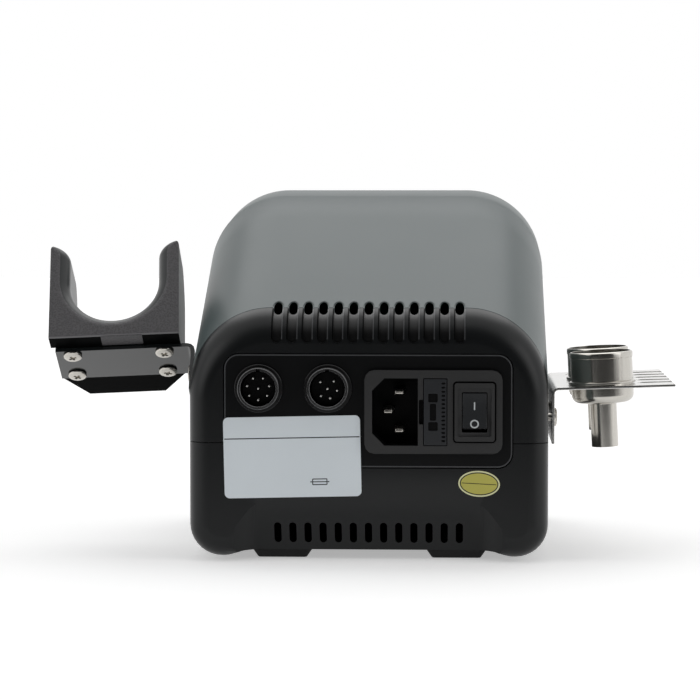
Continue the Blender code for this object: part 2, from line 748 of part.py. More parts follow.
def make_base_shell(finish):
    """Lower shell: floor, legs, scooped rear with vents, board bosses and screw posts."""
    shell = add("base_shell", outer_solid(), finish)
    size = BODY_WIDTH
    keep(shell, box((-size, -size, -REACH), (size, size, SEAM_HEIGHT - GAP / 2)))
    cut(shell, inner_solid())
    half = UNDERSIDE_WIDTH / 2
    cut(shell, box((-half, -size, -REACH), (half, size, UNDERSIDE_HEIGHT)))
    cut(shell, scoop(0.0))
    cut(shell, panel_opening())
    inside, outside = REAR_Y - 2 * SCOOP_DEPTH, REAR_Y + REACH
    cut(shell, vent_row(LOWER_VENT_WIDTH, LOWER_VENT_LOW, LOWER_VENT_HIGH, inside, outside))
    floor = UNDERSIDE_HEIGHT + WALL
    bosses = [
        moved(rod(BOSS_RADIUS, floor - OVERLAP, POWER_BOARD_HEIGHT - GAP), at(x, y, 0.0))
        for x, y in board_corners()
    ]
    posts = [
        moved(rod(POST_RADIUS, floor - OVERLAP, SEAM_HEIGHT - GAP / 2), at(x, y, 0.0))
        for x, y in post_places()
    ]
    fuse(shell, *bosses, *posts)
    bores = [
        moved(rod(SCREW_M3[2] + SCREW_FIT, -REACH, SEAM_HEIGHT + REACH), at(x, y, 0.0))
        for x, y in post_places()
    ]
    cut(shell, *bores)
    counterbore = LEG_HEIGHT + COUNTERBORE_DEPTH
    sinks = [
        moved(rod(SCREW_M3[0] + GAP, -REACH, counterbore), at(x, y, 0.0))
        for x, y in post_places()
    ]
    cut(shell, *sinks)
    threads = [
        moved(rod(SCREW_SMALL[2] + SCREW_FIT, POWER_BOARD_HEIGHT - BOARD_SCREW_LENGTH - GAP,
                  POWER_BOARD_HEIGHT + REACH), at(x, y, 0.0))
        for x, y in board_corners()
    ]
    stems = [
        moved(rod(FOOT_STEM_RADIUS + GAP, -REACH, floor + REACH), at(x, y, 0.0))
        for x, y in corners(FOOT_X, FOOT_Y)
    ]
    cut(shell, *threads, *stems, *wall_screw_holes())
    return shell


def make_rear_bezel(finish):
    """Upper rear shell: rounded shoulder, upper vents and the panel's opening."""
    shell = add("rear_bezel", outer_solid(), finish)
    size = BODY_WIDTH
    front = REAR_Y - BEZEL_DEPTH + GAP / 2
    keep(shell, box((-size, front, SEAM_HEIGHT + GAP / 2), (size, size, 2 * size)))
    cut(shell, inner_solid())
    cut(shell, panel_opening())
    for tool in upper_vent_tools():
        cut(shell, tool)
    return shell


def fascia_outline(grow):
    """Outline of the front panel in the front face's own plane."""
    low, high = FASCIA_BOTTOM - grow, FASCIA_TOP + grow
    return arch(FASCIA_HALF + grow, low, high, ARCH_RADIUS - FASCIA_BORDER + grow, FASCIA_RADIUS + grow)


def make_top_cover(finish):
    """Upper shell: arched roof rising to the band, side walls, fascia opening and screw posts."""
    shell = add("top_cover", outer_solid(), finish)
    size = BODY_WIDTH
    rear = REAR_Y - BEZEL_DEPTH - GAP / 2
    keep(shell, box((-size, -size, SEAM_HEIGHT + GAP / 2), (size, rear, 2 * size)))
    cut(shell, inner_solid())
    for tool in upper_vent_tools():
        cut(shell, tool)
    cut(shell, moved(prism(fascia_outline(GAP), -2 * WALL, REACH, "Z"), FRONT_FRAME.copy()))
    for x, y in post_places():
        post = moved(rod(POST_RADIUS, SEAM_HEIGHT + GAP / 2, 2 * size), at(x, y, 0.0))
        fuse(shell, trimmed(post, housing_solid(WALL / 2, LEG_HEIGHT), "INTERSECT"))
    fuse(shell, *rack_pads())
    threads = [
        moved(rod(SCREW_M3[2] + SCREW_FIT, SEAM_HEIGHT - REACH,
                  LEG_HEIGHT + COUNTERBORE_DEPTH + HOUSING_SCREW_LENGTH + GAP), at(x, y, 0.0))
        for x, y in post_places()
    ]
    cut(shell, *threads, *wall_screw_holes())
    return shell


def screw(size, length):
    """Pan-head screw: the head sits on Z = 0 and the shank points down."""
    head_radius, head_height, shank_radius = size
    profile = (
        (0.0, -length),
        (shank_radius, -length),
        (shank_radius, 0.0),
        (head_radius, 0.0),
        (head_radius, head_height * HEAD_EDGE),
        (head_radius * HEAD_CROWN, head_height),
        (0.0, head_height),
    )
    return lathe(profile, SMALL_ROUND_STEPS)


def make_housing_screws(finish):
    """Four long screws that hold the shells together from below."""
    seat = LEG_HEIGHT + COUNTERBORE_DEPTH - GAP
    for number, (x, y) in enumerate(post_places(), 1):
        solid = moved(screw(SCREW_M3, HOUSING_SCREW_LENGTH), at(x, y, seat) @ UPSIDE_DOWN)
        add(f"housing_screw_{number}", solid, finish)


def make_feet(finish):
    """Rubber feet pushed into the floor."""
    top = UNDERSIDE_HEIGHT - GAP
    stem_top = UNDERSIDE_HEIGHT + WALL + GAP
    profile = (
        (0.0, 0.0),
        (FOOT_TIP_RADIUS, 0.0),
        (FOOT_RADIUS, FOOT_EDGE),
        (FOOT_RADIUS, top),
        (FOOT_STEM_RADIUS, top),
        (FOOT_STEM_RADIUS, stem_top),
        (FOOT_BARB_RADIUS, stem_top),
        (FOOT_STEM_TIP, stem_top + FOOT_STEM_LENGTH - WALL),
        (0.0, stem_top + FOOT_STEM_LENGTH - WALL),
    )
    for number, (x, y) in enumerate(corners(FOOT_X, FOOT_Y), 1):
        add(f"foot_{number}", moved(lathe(profile), at(x, y, 0.0)), finish)


def module_body_outline(grow):
    """Outline of the mains module's body behind its flange."""
    width, height = MODULE_BODY_WIDTH + 2 * grow, MODULE_BODY_HEIGHT + 2 * grow
    return rounded_rectangle(MODULE_X, MODULE_Z, width, height, MODULE_BODY_RADIUS + grow, SMALL_STEPS)


def make_rear_panel(finish):
    """Stepped plate that closes the rear opening and carries the connectors."""
    face = REAR_Y - PANEL_RECESS
    back = REAR_Y - WALL - GAP
    flange_back = back - PANEL_FLANGE_THICKNESS
    panel = add("rear_panel", prism(panel_outline(0.0), flange_back, face, "Y"), finish)
    fuse(panel, prism(panel_outline(PANEL_FLANGE), flange_back, back, "Y"))
    holes = [
        prism(circle(x, SOCKET_Z, SOCKET_BARREL_RADIUS + GAP), 0.0, REAR_Y + REACH, "Y")
        for x in (GUN_SOCKET_X, IRON_SOCKET_X)
    ]
    cut(panel, *holes, prism(module_body_outline(GAP), 0.0, REAR_Y + REACH, "Y"))
    return panel


def inlet_outline():
    """Inlet well lying on its side, with two corners cut off on the earth side."""
    low_x, high_x = INLET_X - INLET_WIDTH / 2, INLET_X + INLET_WIDTH / 2
    low_z, high_z = MODULE_Z - INLET_HEIGHT / 2, MODULE_Z + INLET_HEIGHT / 2
    return (
        (low_x, low_z),
        (high_x - INLET_CHAMFER, low_z),
        (high_x, low_z + INLET_CHAMFER),
        (high_x, high_z - INLET_CHAMFER),
        (high_x - INLET_CHAMFER, high_z),
        (low_x, high_z),
    )


def blade_places():
    """The inlet's three blades: name and centre."""
    return (
        ("inlet_blade_line", BLADE_X, MODULE_Z + BLADE_PITCH / 2),
        ("inlet_blade_earth", BLADE_X + EARTH_SHIFT, MODULE_Z),
        ("inlet_blade_neutral", BLADE_X, MODULE_Z - BLADE_PITCH / 2),
    )


MODULE_BACK = REAR_Y - PANEL_RECESS + GAP
MODULE_FACE = MODULE_BACK + MODULE_FLANGE
SWITCH_FACE = MODULE_FACE + SWITCH_BEZEL_PROUD
INLET_BOTTOM = MODULE_FACE - INLET_DEPTH
ROCKER_PIVOT = Vector((SWITCH_X, SWITCH_FACE - ROCKER_PIVOT_DEPTH, MODULE_Z))
MODULE_REAR = MODULE_BACK - MODULE_BODY_DEPTH


def make_mains_module(finish):
    """Flanged moulding with the inlet well, the fuse drawer's pocket and the rocker's well."""
    outline = rounded_rectangle(MODULE_X, MODULE_Z, MODULE_WIDTH, MODULE_HEIGHT, MODULE_RADIUS)
    module = add("mains_module", prism(outline, MODULE_BACK, MODULE_FACE, "Y"), finish)
    fuse(module, prism(module_body_outline(0.0), MODULE_REAR, MODULE_BACK + OVERLAP, "Y"))
    bezel = rounded_rectangle(
        SWITCH_X, MODULE_Z, SWITCH_BEZEL_WIDTH, SWITCH_BEZEL_HEIGHT, SWITCH_BEZEL_RADIUS, SMALL_STEPS
    )
    fuse(module, prism(bezel, MODULE_FACE - OVERLAP, SWITCH_FACE, "Y"))
    mouth = MODULE_FACE + REACH
    well = prism(inlet_outline(), INLET_BOTTOM, mouth, "Y")
    pocket = rounded_rectangle(DRAWER_X, MODULE_Z, DRAWER_WIDTH + 2 * GAP, DRAWER_HEIGHT + 2 * GAP, GAP, 1)
    drawer = prism(pocket, MODULE_FACE - DRAWER_LENGTH - 2 * GAP, mouth, "Y")
    rocker_well = prism(
        rounded_rectangle(SWITCH_X, MODULE_Z, SWITCH_WELL_WIDTH, SWITCH_WELL_HEIGHT, GAP, 1),
        SWITCH_FACE - SWITCH_WELL_DEPTH, mouth, "Y",
    )
    cut(module, well, drawer, rocker_well)
    reach = SWITCH_WELL_WIDTH / 2 + ROCKER_PIN_LENGTH + GAP
    pivot_hole = moved(rod(ROCKER_PIN_RADIUS + GAP, -reach, reach), at(*ROCKER_PIVOT) @ TOWARDS_LEFT)
    notch_x = DRAWER_X + DRAWER_WIDTH / 2 + GAP + NOTCH_WIDTH / 2 - OVERLAP
    notch = prism(
        rounded_rectangle(notch_x, MODULE_Z, NOTCH_WIDTH, NOTCH_HEIGHT, GAP, 1),
        MODULE_FACE - NOTCH_DEPTH, mouth, "Y",
    )
    cut(module, pivot_hole, notch)
    slots = [
        prism(
            rounded_rectangle(x, z, BLADE_WIDTH + 2 * GAP, BLADE_THICKNESS + 2 * GAP, GAP, 1),
            0.0, INLET_BOTTOM + OVERLAP, "Y",
        )
        for name, x, z in blade_places()
    ]
    pit = rounded_rectangle(INLET_X, MODULE_Z, INLET_WIDTH, INLET_HEIGHT, INLET_PIT_RADIUS, 1)
    cut(module, prism(pit, 0.0, INLET_BOTTOM - INLET_FLOOR, "Y"))
    cut(module, *slots)
    return module


def make_inlet_blades(finish):
    """Flat contact blades that stand in the inlet's floor."""
    for name, x, z in blade_places():
        outline = rounded_rectangle(x, z, BLADE_WIDTH, BLADE_THICKNESS, BLADE_RADIUS, SMALL_STEPS)
        tip = rounded_rectangle(x, z, *BLADE_TIP, BLADE_TIP_RADIUS, SMALL_STEPS)
        levels = (
            (tip, INLET_BOTTOM + BLADE_PROUD),
            (outline, INLET_BOTTOM + BLADE_PROUD - BLADE_TAPER),
            (outline, INLET_BOTTOM - INLET_FLOOR - BLADE_TAIL),
        )
        add(name, loft([[spot(point, level, "Y") for point in ring] for ring, level in levels]), finish)


def drawer_face_tools():
    """Shallow recesses of the drawer's latch, and the ribs' grooves along one edge."""
    face = MODULE_FACE
    tools = []
    for size, rise in ((LATCH_SIZE, LATCH_RISE), (LATCH_SLOT, 0.0), (LATCH_SIZE, -LATCH_RISE)):
        outline = rounded_rectangle(DRAWER_X + RECESS_SHIFT, MODULE_Z + rise, *size, GAP, 1)
        tools.append(prism(outline, face - RECESS_DEPTH, face + REACH, "Y"))
    x = DRAWER_X - DRAWER_WIDTH / 2 + GRIP_INSET + GRIP_WIDTH / 2
    for i in range(GRIP_COUNT):
        z = MODULE_Z + (i - (GRIP_COUNT - 1) / 2) * GRIP_PITCH
        outline = rounded_rectangle(x, z, GRIP_WIDTH, GRIP_PITCH / 2, GAP, 1)
        tools.append(prism(outline, face - RECESS_DEPTH, face + REACH, "Y"))
    return tools


def make_fuse_drawer(finish, cap_finish):
    """Sliding tray, open on one side, with the fuse standing in it."""
    face = MODULE_FACE
    back = face - DRAWER_LENGTH
    low = (DRAWER_X - DRAWER_WIDTH / 2, back, MODULE_Z - DRAWER_HEIGHT / 2)
    high = (DRAWER_X + DRAWER_WIDTH / 2, face, MODULE_Z + DRAWER_HEIGHT / 2)
    origin = (DRAWER_X, face, MODULE_Z)
    drawer = add("fuse_drawer", box(low, high), finish, origin)
    fuse_y = back + DRAWER_WALL + GAP + FUSE_CAP_RADIUS
    hollow_low = (low[0] - REACH, back + DRAWER_WALL, low[2] + DRAWER_WALL)
    hollow_high = (high[0] - DRAWER_WALL, face - DRAWER_FACE, high[2] - DRAWER_WALL)
    cut(drawer, box(hollow_low, hollow_high), *drawer_face_tools())
    fuse_x = high[0] - DRAWER_WALL - GAP - FUSE_CAP_RADIUS
    half = FUSE_LENGTH / 2
    inner = half - FUSE_CAP_LENGTH
    profile = (
        (0.0, -half), (FUSE_CAP_RADIUS, -half), (FUSE_CAP_RADIUS, -inner), (FUSE_RADIUS - GAP, -inner),
        (FUSE_RADIUS - GAP, inner), (FUSE_CAP_RADIUS, inner), (FUSE_CAP_RADIUS, half), (0.0, half),
    )
    add("fuse", moved(lathe(profile, SMALL_ROUND_STEPS), at(fuse_x, fuse_y, MODULE_Z)), cap_finish)
    return drawer


def make_rocker(finish):
    """Rocker with a shallow valley, tipped so that its upper half is pressed in."""
    rise = ROCKER_HALF * tan(ROCKER_ANGLE)
    outline = (
        (-rise, -ROCKER_HALF), (0.0, 0.0), (-rise, ROCKER_HALF),
        (ROCKER_PIVOT_DEPTH, ROCKER_HALF), (ROCKER_THICKNESS, ROCKER_BACK_HALF),
        (ROCKER_THICKNESS, -ROCKER_BACK_HALF), (ROCKER_PIVOT_DEPTH, -ROCKER_HALF),
    )
    points = [(ROCKER_PIVOT_DEPTH - inwards, height) for inwards, height in outline]
    half = SWITCH_WELL_WIDTH / 2 - GAP
    rocker = add("rocker_switch", prism(points, -half, half, "X"), finish)
    reach = half + ROCKER_PIN_LENGTH
    fuse(rocker, moved(rod(ROCKER_PIN_RADIUS, -reach, reach), TOWARDS_LEFT.copy()))
    rocker.location = ROCKER_PIVOT
    rocker.rotation_euler = (ROCKER_ANGLE, 0.0, 0.0)
    return rocker


def make_socket(name, x, pins, pin_circle, finish, insert_finish):
    """Round threaded panel socket: barrel with collar, insulator with pins, and a hex nut behind."""
    face = REAR_Y - PANEL_RECESS
    collar_top = face + GAP + SOCKET_COLLAR_THICKNESS
    rim = face + SOCKET_PROUD
    tail = rim - SOCKET_LENGTH
    outer, bore = SOCKET_BARREL_RADIUS, SOCKET_BORE_RADIUS
    profile = (
        (outer, tail), (outer, face + GAP), (SOCKET_COLLAR_RADIUS, face + GAP),
        (SOCKET_COLLAR_RADIUS, collar_top - GAP), (SOCKET_COLLAR_RADIUS - GAP, collar_top),
        (outer - GAP, collar_top), (outer - GAP, rim - GAP), (outer - 2 * GAP, rim), (bore, rim), (bore, tail),
    )
    turn = at(x, 0.0, SOCKET_Z) @ TOWARDS_REAR
    shell = add(f"{name}_shell", moved(lathe(profile), turn), finish)
    insert_face = rim - SOCKET_INSERT_DEPTH
    key = rounded_rectangle(x, SOCKET_Z + bore, SOCKET_KEY_WIDTH, 2 * SOCKET_KEY_DEPTH, GAP, 1)
    cut(shell, prism(key, insert_face, rim + REACH, "Y"))
    insert = add(f"{name}_insert", moved(rod(bore - GAP, tail, insert_face, ROUND_STEPS), turn), insert_finish)
    ring = pins - 1
    angles = [-pi / 2 + 2 * pi * i / ring for i in range(ring)]
    places = [(0.0, 0.0)] + [(pin_circle * cos(angle), pin_circle * sin(angle)) for angle in angles]
    tip = insert_face + SOCKET_PIN_PROUD
    sticks = [
        moved(rod(SOCKET_PIN_RADIUS, tail - SOCKET_TAIL, tip, PIN_STEPS), at(x + px, 0.0, SOCKET_Z + pz) @ TOWARDS_REAR)
        for px, pz in places
    ]
    fuse(insert, *sticks)
    back = REAR_Y - WALL - GAP - PANEL_FLANGE_THICKNESS - GAP
    hexagon = circle(x, SOCKET_Z, SOCKET_NUT_SPAN / 2 / cos(pi / 6), 6)
    nut = add(f"{name}_nut", prism(hexagon, back - SOCKET_NUT_THICKNESS, back, "Y"), finish)
    cut(nut, prism(circle(x, SOCKET_Z, outer + GAP), 0.0, REAR_Y, "Y"))


def channel_ring(radius, v):
    """U-shaped cross-section of the gun's channel, flared out between the arm tips."""
    low = CRADLE_CHANNEL_HEIGHT
    bend = CRADLE_HEIGHT - CRADLE_TIP_RADIUS
    outside = CRADLE_WIDTH
    right = arc(radius + CRADLE_TIP_RADIUS, bend, CRADLE_TIP_RADIUS, pi, pi / 2, CORNER_STEPS)
    bowl = arc(0.0, low, radius, pi, 2 * pi, 2 * ARCH_STEPS)
    left = [(-u, w) for u, w in reversed(right)]
    top = CRADLE_HEIGHT + REACH
    above = [(outside, CRADLE_HEIGHT), (outside, top), (-outside, top), (-outside, CRADLE_HEIGHT)]
    return [(u, v, w) for u, w in bowl + right + above + left]


def make_cradle(finish):
    """Moulded U-shaped rest: chamfered foot, two arms and a channel with a wide round mouth."""
    half = CRADLE_WIDTH / 2
    chamfer_u, chamfer_v = CRADLE_CHAMFER
    front = -CRADLE_LENGTH
    plan = (
        (half, 0.0), (-half, 0.0), (-half, front + chamfer_v), (-half + chamfer_u, front),
        (half - chamfer_u, front), (half, front + chamfer_v),
    )
    cradle = add("cradle", prism(plan, 0.0, CRADLE_HEIGHT, "Z"), finish)
    arm = CRADLE_ARM_LENGTH
    base = CRADLE_BASE_THICKNESS
    radius = CRADLE_ARM_RADIUS
    side = [(REACH, -REACH), (REACH, CRADLE_HEIGHT)]
    side += arc(-arm + radius, CRADLE_HEIGHT - radius, radius, pi / 2, pi, ARCH_STEPS)
    side += [(-arm, base), (-CRADLE_LENGTH - REACH, base), (-CRADLE_LENGTH - REACH, -REACH)]
    keep(cradle, prism(side, -CRADLE_WIDTH, CRADLE_WIDTH, "X"))
    rings = []
    for i in range(CORNER_STEPS + 1):
        turn = i * pi / 2 / CORNER_STEPS
        swell = (CRADLE_MOUTH_RADIUS - CRADLE_CHANNEL_RADIUS) * (1 - sin(turn))
        v = -CRADLE_MOUTH_LENGTH * (1 - cos(turn))
        rings.append(channel_ring(CRADLE_CHANNEL_RADIUS + swell, v))
    first = [(u, REACH, w) for u, v, w in rings[0]]
    last = [(u, front - REACH, w) for u, v, w in rings[-1]]
    cut(cradle, loft([first, *rings, last]))
    shank = SCREW_M3[2] + SCREW_FIT
    holes = [
        moved(rod(shank, -REACH, CRADLE_SCREW_LENGTH - STRIP_THICKNESS), at(u, v, 0.0))
        for u, v in cradle_screw_places()
    ]
    cut(cradle, *holes)
    return cradle


def cradle_screw_places():
    """Four screws through the strip into the cradle's foot."""
    middle = -STRIP_SETBACK - STRIP_WIDTH / 2
    span, rows = CRADLE_SCREW_SPAN / 2, CRADLE_SCREW_ROWS / 2
    return [(side * span, middle + row * rows) for row in (1, -1) for side in (1, -1)]


def bent_strip(start, corner, end, thickness, bend):
    """Cross-section of a sheet bent once: constant thickness with a round corner."""
    start, corner, end = Vector(start), Vector(corner), Vector(end)
    before = (corner - start).normalized()
    after = (end - corner).normalized()
    turn = before.angle_signed(after)
    radius = bend + thickness / 2
    reach = radius * tan(abs(turn) / 2)
    side = Vector((-before.y, before.x)) * (-1.0 if turn > 0 else 1.0)
    centre = corner - before * reach + side * radius
    path = [(start, side)]
    for i in range(CORNER_STEPS + 1):
        spin = Matrix.Rotation(-turn * i / CORNER_STEPS, 2)
        inwards = spin @ side
        path.append((centre - inwards * radius, inwards))
    path.append((end, path[-1][1]))
    half = thickness / 2
    inner = [tuple(point + inwards * half) for point, inwards in path]
    outer = [tuple(point - inwards * half) for point, inwards in path]
    return inner + outer[::-1]


def make_cradle_bracket(finish):
    """Flat strip under the cradle, bent down into a flange against the housing's side."""
    level = -GAP - STRIP_THICKNESS / 2
    wall_x = HALF_WIDTH + GAP + STRIP_THICKNESS / 2
    corner_u = (wall_x - CRADLE_X - level * sin(CRADLE_DROOP)) / cos(CRADLE_DROOP)
    down = Vector((sin(CRADLE_DROOP), -cos(CRADLE_DROOP))) * STRIP_FLANGE
    outline = bent_strip(
        (CRADLE_WIDTH / 2, level), (corner_u, level), (corner_u + down.x, level + down.y),
        STRIP_THICKNESS, STRIP_BEND,
    )
    rear = -STRIP_SETBACK
    bracket = add("cradle_bracket", prism(outline, rear - STRIP_WIDTH, rear, "Y"), finish)
    shank = SCREW_M3[2] + SCREW_FIT
    holes = [moved(rod(shank, -REACH, REACH), at(u, v, level)) for u, v in cradle_screw_places()]
    inverse = CRADLE_FRAME.inverted()
    holes += [
        moved(rod(shank, -REACH, REACH), inverse @ at(*wall_point(v)) @ TOWARDS_LEFT)
        for v in wall_screw_places()
    ]
    cut(bracket, *holes)
    return bracket


def make_cradle_screws(finish):
    """Pan-head screws into the cradle, and two more into the housing's side."""
    seat = -2 * GAP - STRIP_THICKNESS
    pieces = []
    for number, (u, v) in enumerate(cradle_screw_places(), 1):
        solid = moved(screw(SCREW_M3, CRADLE_SCREW_LENGTH), at(u, v, seat) @ UPSIDE_DOWN)
        pieces.append(add(f"cradle_screw_{number}", solid, finish))
    inverse = CRADLE_FRAME.inverted()
    for number, v in enumerate(wall_screw_places(), 1):
        solid = moved(screw(SCREW_M3, WALL_SCREW_LENGTH), inverse @ at(*wall_point(v)) @ TOWARDS_LEFT)
        pieces.append(add(f"bracket_screw_{number}", solid, finish))
    return pieces


def make_cradle_group(black, steel, plated):
    """Everything drawn in the cradle's tilted frame."""
    frame = frame_empty("cradle_frame", CRADLE_FRAME)
    pieces = [make_cradle(black), make_cradle_bracket(steel), *make_cradle_screws(plated)]
    for piece in pieces:
        piece.parent = frame
    return frame


def nozzle_centres():
    """Centres of the rack's holes, rear to front."""
    x = -(HALF_WIDTH + RACK_HOLE_OFFSET)
    rear = REAR_Y - RACK_DEPTH - RACK_PITCH / 2
    count = round(RACK_LENGTH / RACK_PITCH)
    return [(x, rear - i * RACK_PITCH) for i in range(count)]


def rack_level(x):
    """Height of the rack's upper face at a place along its reach."""
    run = -x - HALF_WIDTH
    return RACK_HEIGHT + run * tan(RACK_RISE)


def make_nozzle_rack(finish):
    """Bent sheet with three nozzle holes and a comb edge."""
    wall_x = -(HALF_WIDTH + RACK_PAD + GAP + RACK_THICKNESS / 2)
    level = RACK_HEIGHT - RACK_THICKNESS / 2
    outer_x = -(HALF_WIDTH + RACK_REACH)
    rise = RACK_REACH * tan(RACK_RISE)
    outline = bent_strip(
        (outer_x, level + rise), (wall_x, level), (wall_x, RACK_HEIGHT - RACK_DROP),
        RACK_THICKNESS, RACK_BEND,
    )
    rear = REAR_Y - RACK_DEPTH
    rack = add("nozzle_rack", prism(outline, rear - RACK_LENGTH, rear, "Y"), finish)
    tools = [
        prism(circle(x, y, RACK_HOLE_RADIUS), RACK_HEIGHT - REACH, RACK_HEIGHT + REACH, "Z")
        for x, y in nozzle_centres()
    ]
    count = round(RACK_LENGTH / SLIT_PITCH)
    for i in range(1, count):
        y = rear - i * SLIT_PITCH
        middle = outer_x - REACH / 2 + SLIT_LENGTH / 2
        slit = rounded_rectangle(
            middle, y, SLIT_LENGTH + REACH, SLIT_WIDTH, SLIT_WIDTH / 2 - GAP, SMALL_STEPS
        )
        tools.append(prism(slit, RACK_HEIGHT - REACH, RACK_HEIGHT + REACH, "Z"))
    shank = SCREW_M3[2] + SCREW_FIT
    tools += [
        moved(rod(shank, -REACH, REACH), at(*rack_screw_point(y)) @ TOWARDS_RIGHT) for y in rack_screw_y()
    ]
    cut(rack, *tools)
    return rack


def make_rack_screws(finish):
    """Pan-head screws through the rack's flange."""
    for number, y in enumerate(rack_screw_y(), 1):
        solid = moved(screw(SCREW_M3, WALL_SCREW_LENGTH), at(*rack_screw_point(y)) @ TOWARDS_RIGHT)
        add(f"rack_screw_{number}", solid, finish)


def make_nozzles(finish):
    """Pressed steel nozzles: a cup that rests by its bead on the rack, and an outlet tube below."""
    for number, (tube_radius, tube_length) in enumerate(NOZZLE_TUBES):
        x, y = nozzle_centres()[number]
        seat = rack_level(x) + GAP
        wall = NOZZLE_WALL
        outer = NOZZLE_RADIUS
        fillet = NOZZLE_FILLET
        bottom = -NOZZLE_BELOW
        top = NOZZLE_ABOVE
        turn_out = arc(outer - fillet, bottom + fillet, fillet, -pi / 2, 0.0, CORNER_STEPS)
        turn_in = arc(outer - fillet, bottom + fillet, fillet - wall, 0.0, -pi / 2, CORNER_STEPS)
        profile = [
            (tube_radius - wall, bottom - tube_length),
            (tube_radius, bottom - tube_length),
            (tube_radius, bottom),
            *turn_out,
            (outer, 0.0),
            (NOZZLE_BEAD, 0.0),
            (NOZZLE_BEAD, NOZZLE_BEAD_HEIGHT),
            (outer, NOZZLE_BEAD_HEIGHT + GAP),
            (outer, top - NOZZLE_RIM),
            (outer + NOZZLE_RIM_PROUD, top - NOZZLE_RIM + NOZZLE_RIM_PROUD),
            (outer + NOZZLE_RIM_PROUD, top),
            (outer - wall, top),
            *turn_in,
            (tube_radius - wall, bottom + wall),
        ]
        stance = at(x, y, seat) @ Matrix.Rotation(RACK_RISE, 4, "Y")
        add(f"nozzle_{number + 1}", moved(lathe(profile), stance), finish, (x, y, seat))


FASCIA_FACE = FASCIA_PROUD
FASCIA_BACK = -WALL - GAP
FASCIA_REAR = FASCIA_BACK - FASCIA_LIP_THICKNESS
KEY_LIP_FACE = FASCIA_REAR - GAP
KEY_BACK = KEY_LIP_FACE - KEY_LIP_THICKNESS
SWITCH_TOP = KEY_BACK - GAP - KEY_TRAVEL
WINDOW_BACK = FASCIA_FACE - GAP - WINDOW_THICKNESS
BOARD_FACE = WINDOW_BACK - 2 * GAP - DISPLAY_THICKNESS
CONTROL_BOARD_BACK = BOARD_FACE - BOARD_THICKNESS


def key_places():
    """Centres of the front keys, left to right as the user sees them."""
    first = -(KEY_COUNT - 1) / 2 * KEY_PITCH
    return [(first + i * KEY_PITCH, KEY_HEIGHT) for i in range(KEY_COUNT)]


def control_board_corners():
    """Places of the control board's standoffs."""
    x = CONTROL_BOARD_SIZE[0] / 2 - STANDOFF_INSET
    y = CONTROL_BOARD_SIZE[1] / 2 - STANDOFF_INSET
    return [(px, py + CONTROL_BOARD_CENTRE[1]) for px, py in corners(x, y)]


def plate(centre, size, radius, low, high, grow=0.0):
    """Rounded rectangular block in the front face's frame."""
    outline = rounded_rectangle(*centre, size[0] + 2 * grow, size[1] + 2 * grow, radius + grow, SMALL_STEPS)
    return prism(outline, low, high, "Z")


def make_front_panel(finish):
    """Arched fascia set in the cover's front opening, with openings for the controls."""
    panel = add("front_panel", prism(fascia_outline(0.0), FASCIA_REAR, FASCIA_FACE, "Z"), finish)
    fuse(panel, prism(fascia_outline(FASCIA_LIP), FASCIA_REAR, FASCIA_BACK, "Z"))
    standoffs = [
        moved(rod(STANDOFF_RADIUS, BOARD_FACE + GAP, FASCIA_REAR + OVERLAP), at(x, y, 0.0))
        for x, y in control_board_corners()
    ]
    fuse(panel, *standoffs)
    openings = [plate(WINDOW_CENTRE, WINDOW_SIZE, WINDOW_RADIUS, FASCIA_REAR - REACH, REACH, GAP)]
    openings += [
        plate(place, KEY_SIZE, KEY_RADIUS, FASCIA_REAR - OVERLAP, REACH, GAP) for place in key_places()
    ]
    openings.append(prism(circle(*KNOB_CENTRE, BUSH_RADIUS + GAP), FASCIA_REAR - REACH, REACH, "Z"))
    cut(panel, *openings)
    return panel


def make_display(window_finish, module_finish):
    """Tinted window flush in the fascia, and the display module behind it."""
    top = FASCIA_FACE - GAP
    pane = plate(WINDOW_CENTRE, WINDOW_SIZE, WINDOW_RADIUS, WINDOW_BACK, top)
    window = add("display_window", pane, window_finish)
    size = (WINDOW_SIZE[0] - 2 * DISPLAY_BORDER, WINDOW_SIZE[1] - 2 * DISPLAY_BORDER)
    solid = plate(WINDOW_CENTRE, size, GAP, BOARD_FACE + GAP, WINDOW_BACK - GAP)
    return [window, add("display_module", solid, module_finish)]


def make_keys(finish):
    """Push keys with a lip behind the fascia that keeps them in."""
    keys = []
    for number, place in enumerate(key_places(), 1):
        origin = (*place, 0.0)
        cap = plate(place, KEY_SIZE, KEY_RADIUS, KEY_BACK, FASCIA_FACE + KEY_PROUD)
        key = add(f"key_{number}", cap, finish, origin)
        fuse(key, plate(place, KEY_SIZE, KEY_RADIUS, KEY_BACK, KEY_LIP_FACE, KEY_LIP))
        keys.append(key)
    return keys


def make_control_board(finish):
    """Circuit board behind the fascia, with a push switch under each key."""
    base = plate(CONTROL_BOARD_CENTRE, CONTROL_BOARD_SIZE, BOARD_RADIUS, CONTROL_BOARD_BACK, BOARD_FACE)
    board = add("control_board", base, finish)
    switches = [
        plate(place, (SWITCH_SIZE, SWITCH_SIZE), GAP, BOARD_FACE - OVERLAP, SWITCH_TOP)
        for place in key_places()
    ]
    fuse(board, *switches)
    x, y = KNOB_CENTRE
    cut(board, prism(circle(x, y, SHAFT_RADIUS + 2 * GAP), CONTROL_BOARD_BACK - REACH, REACH, "Z"))
    return board


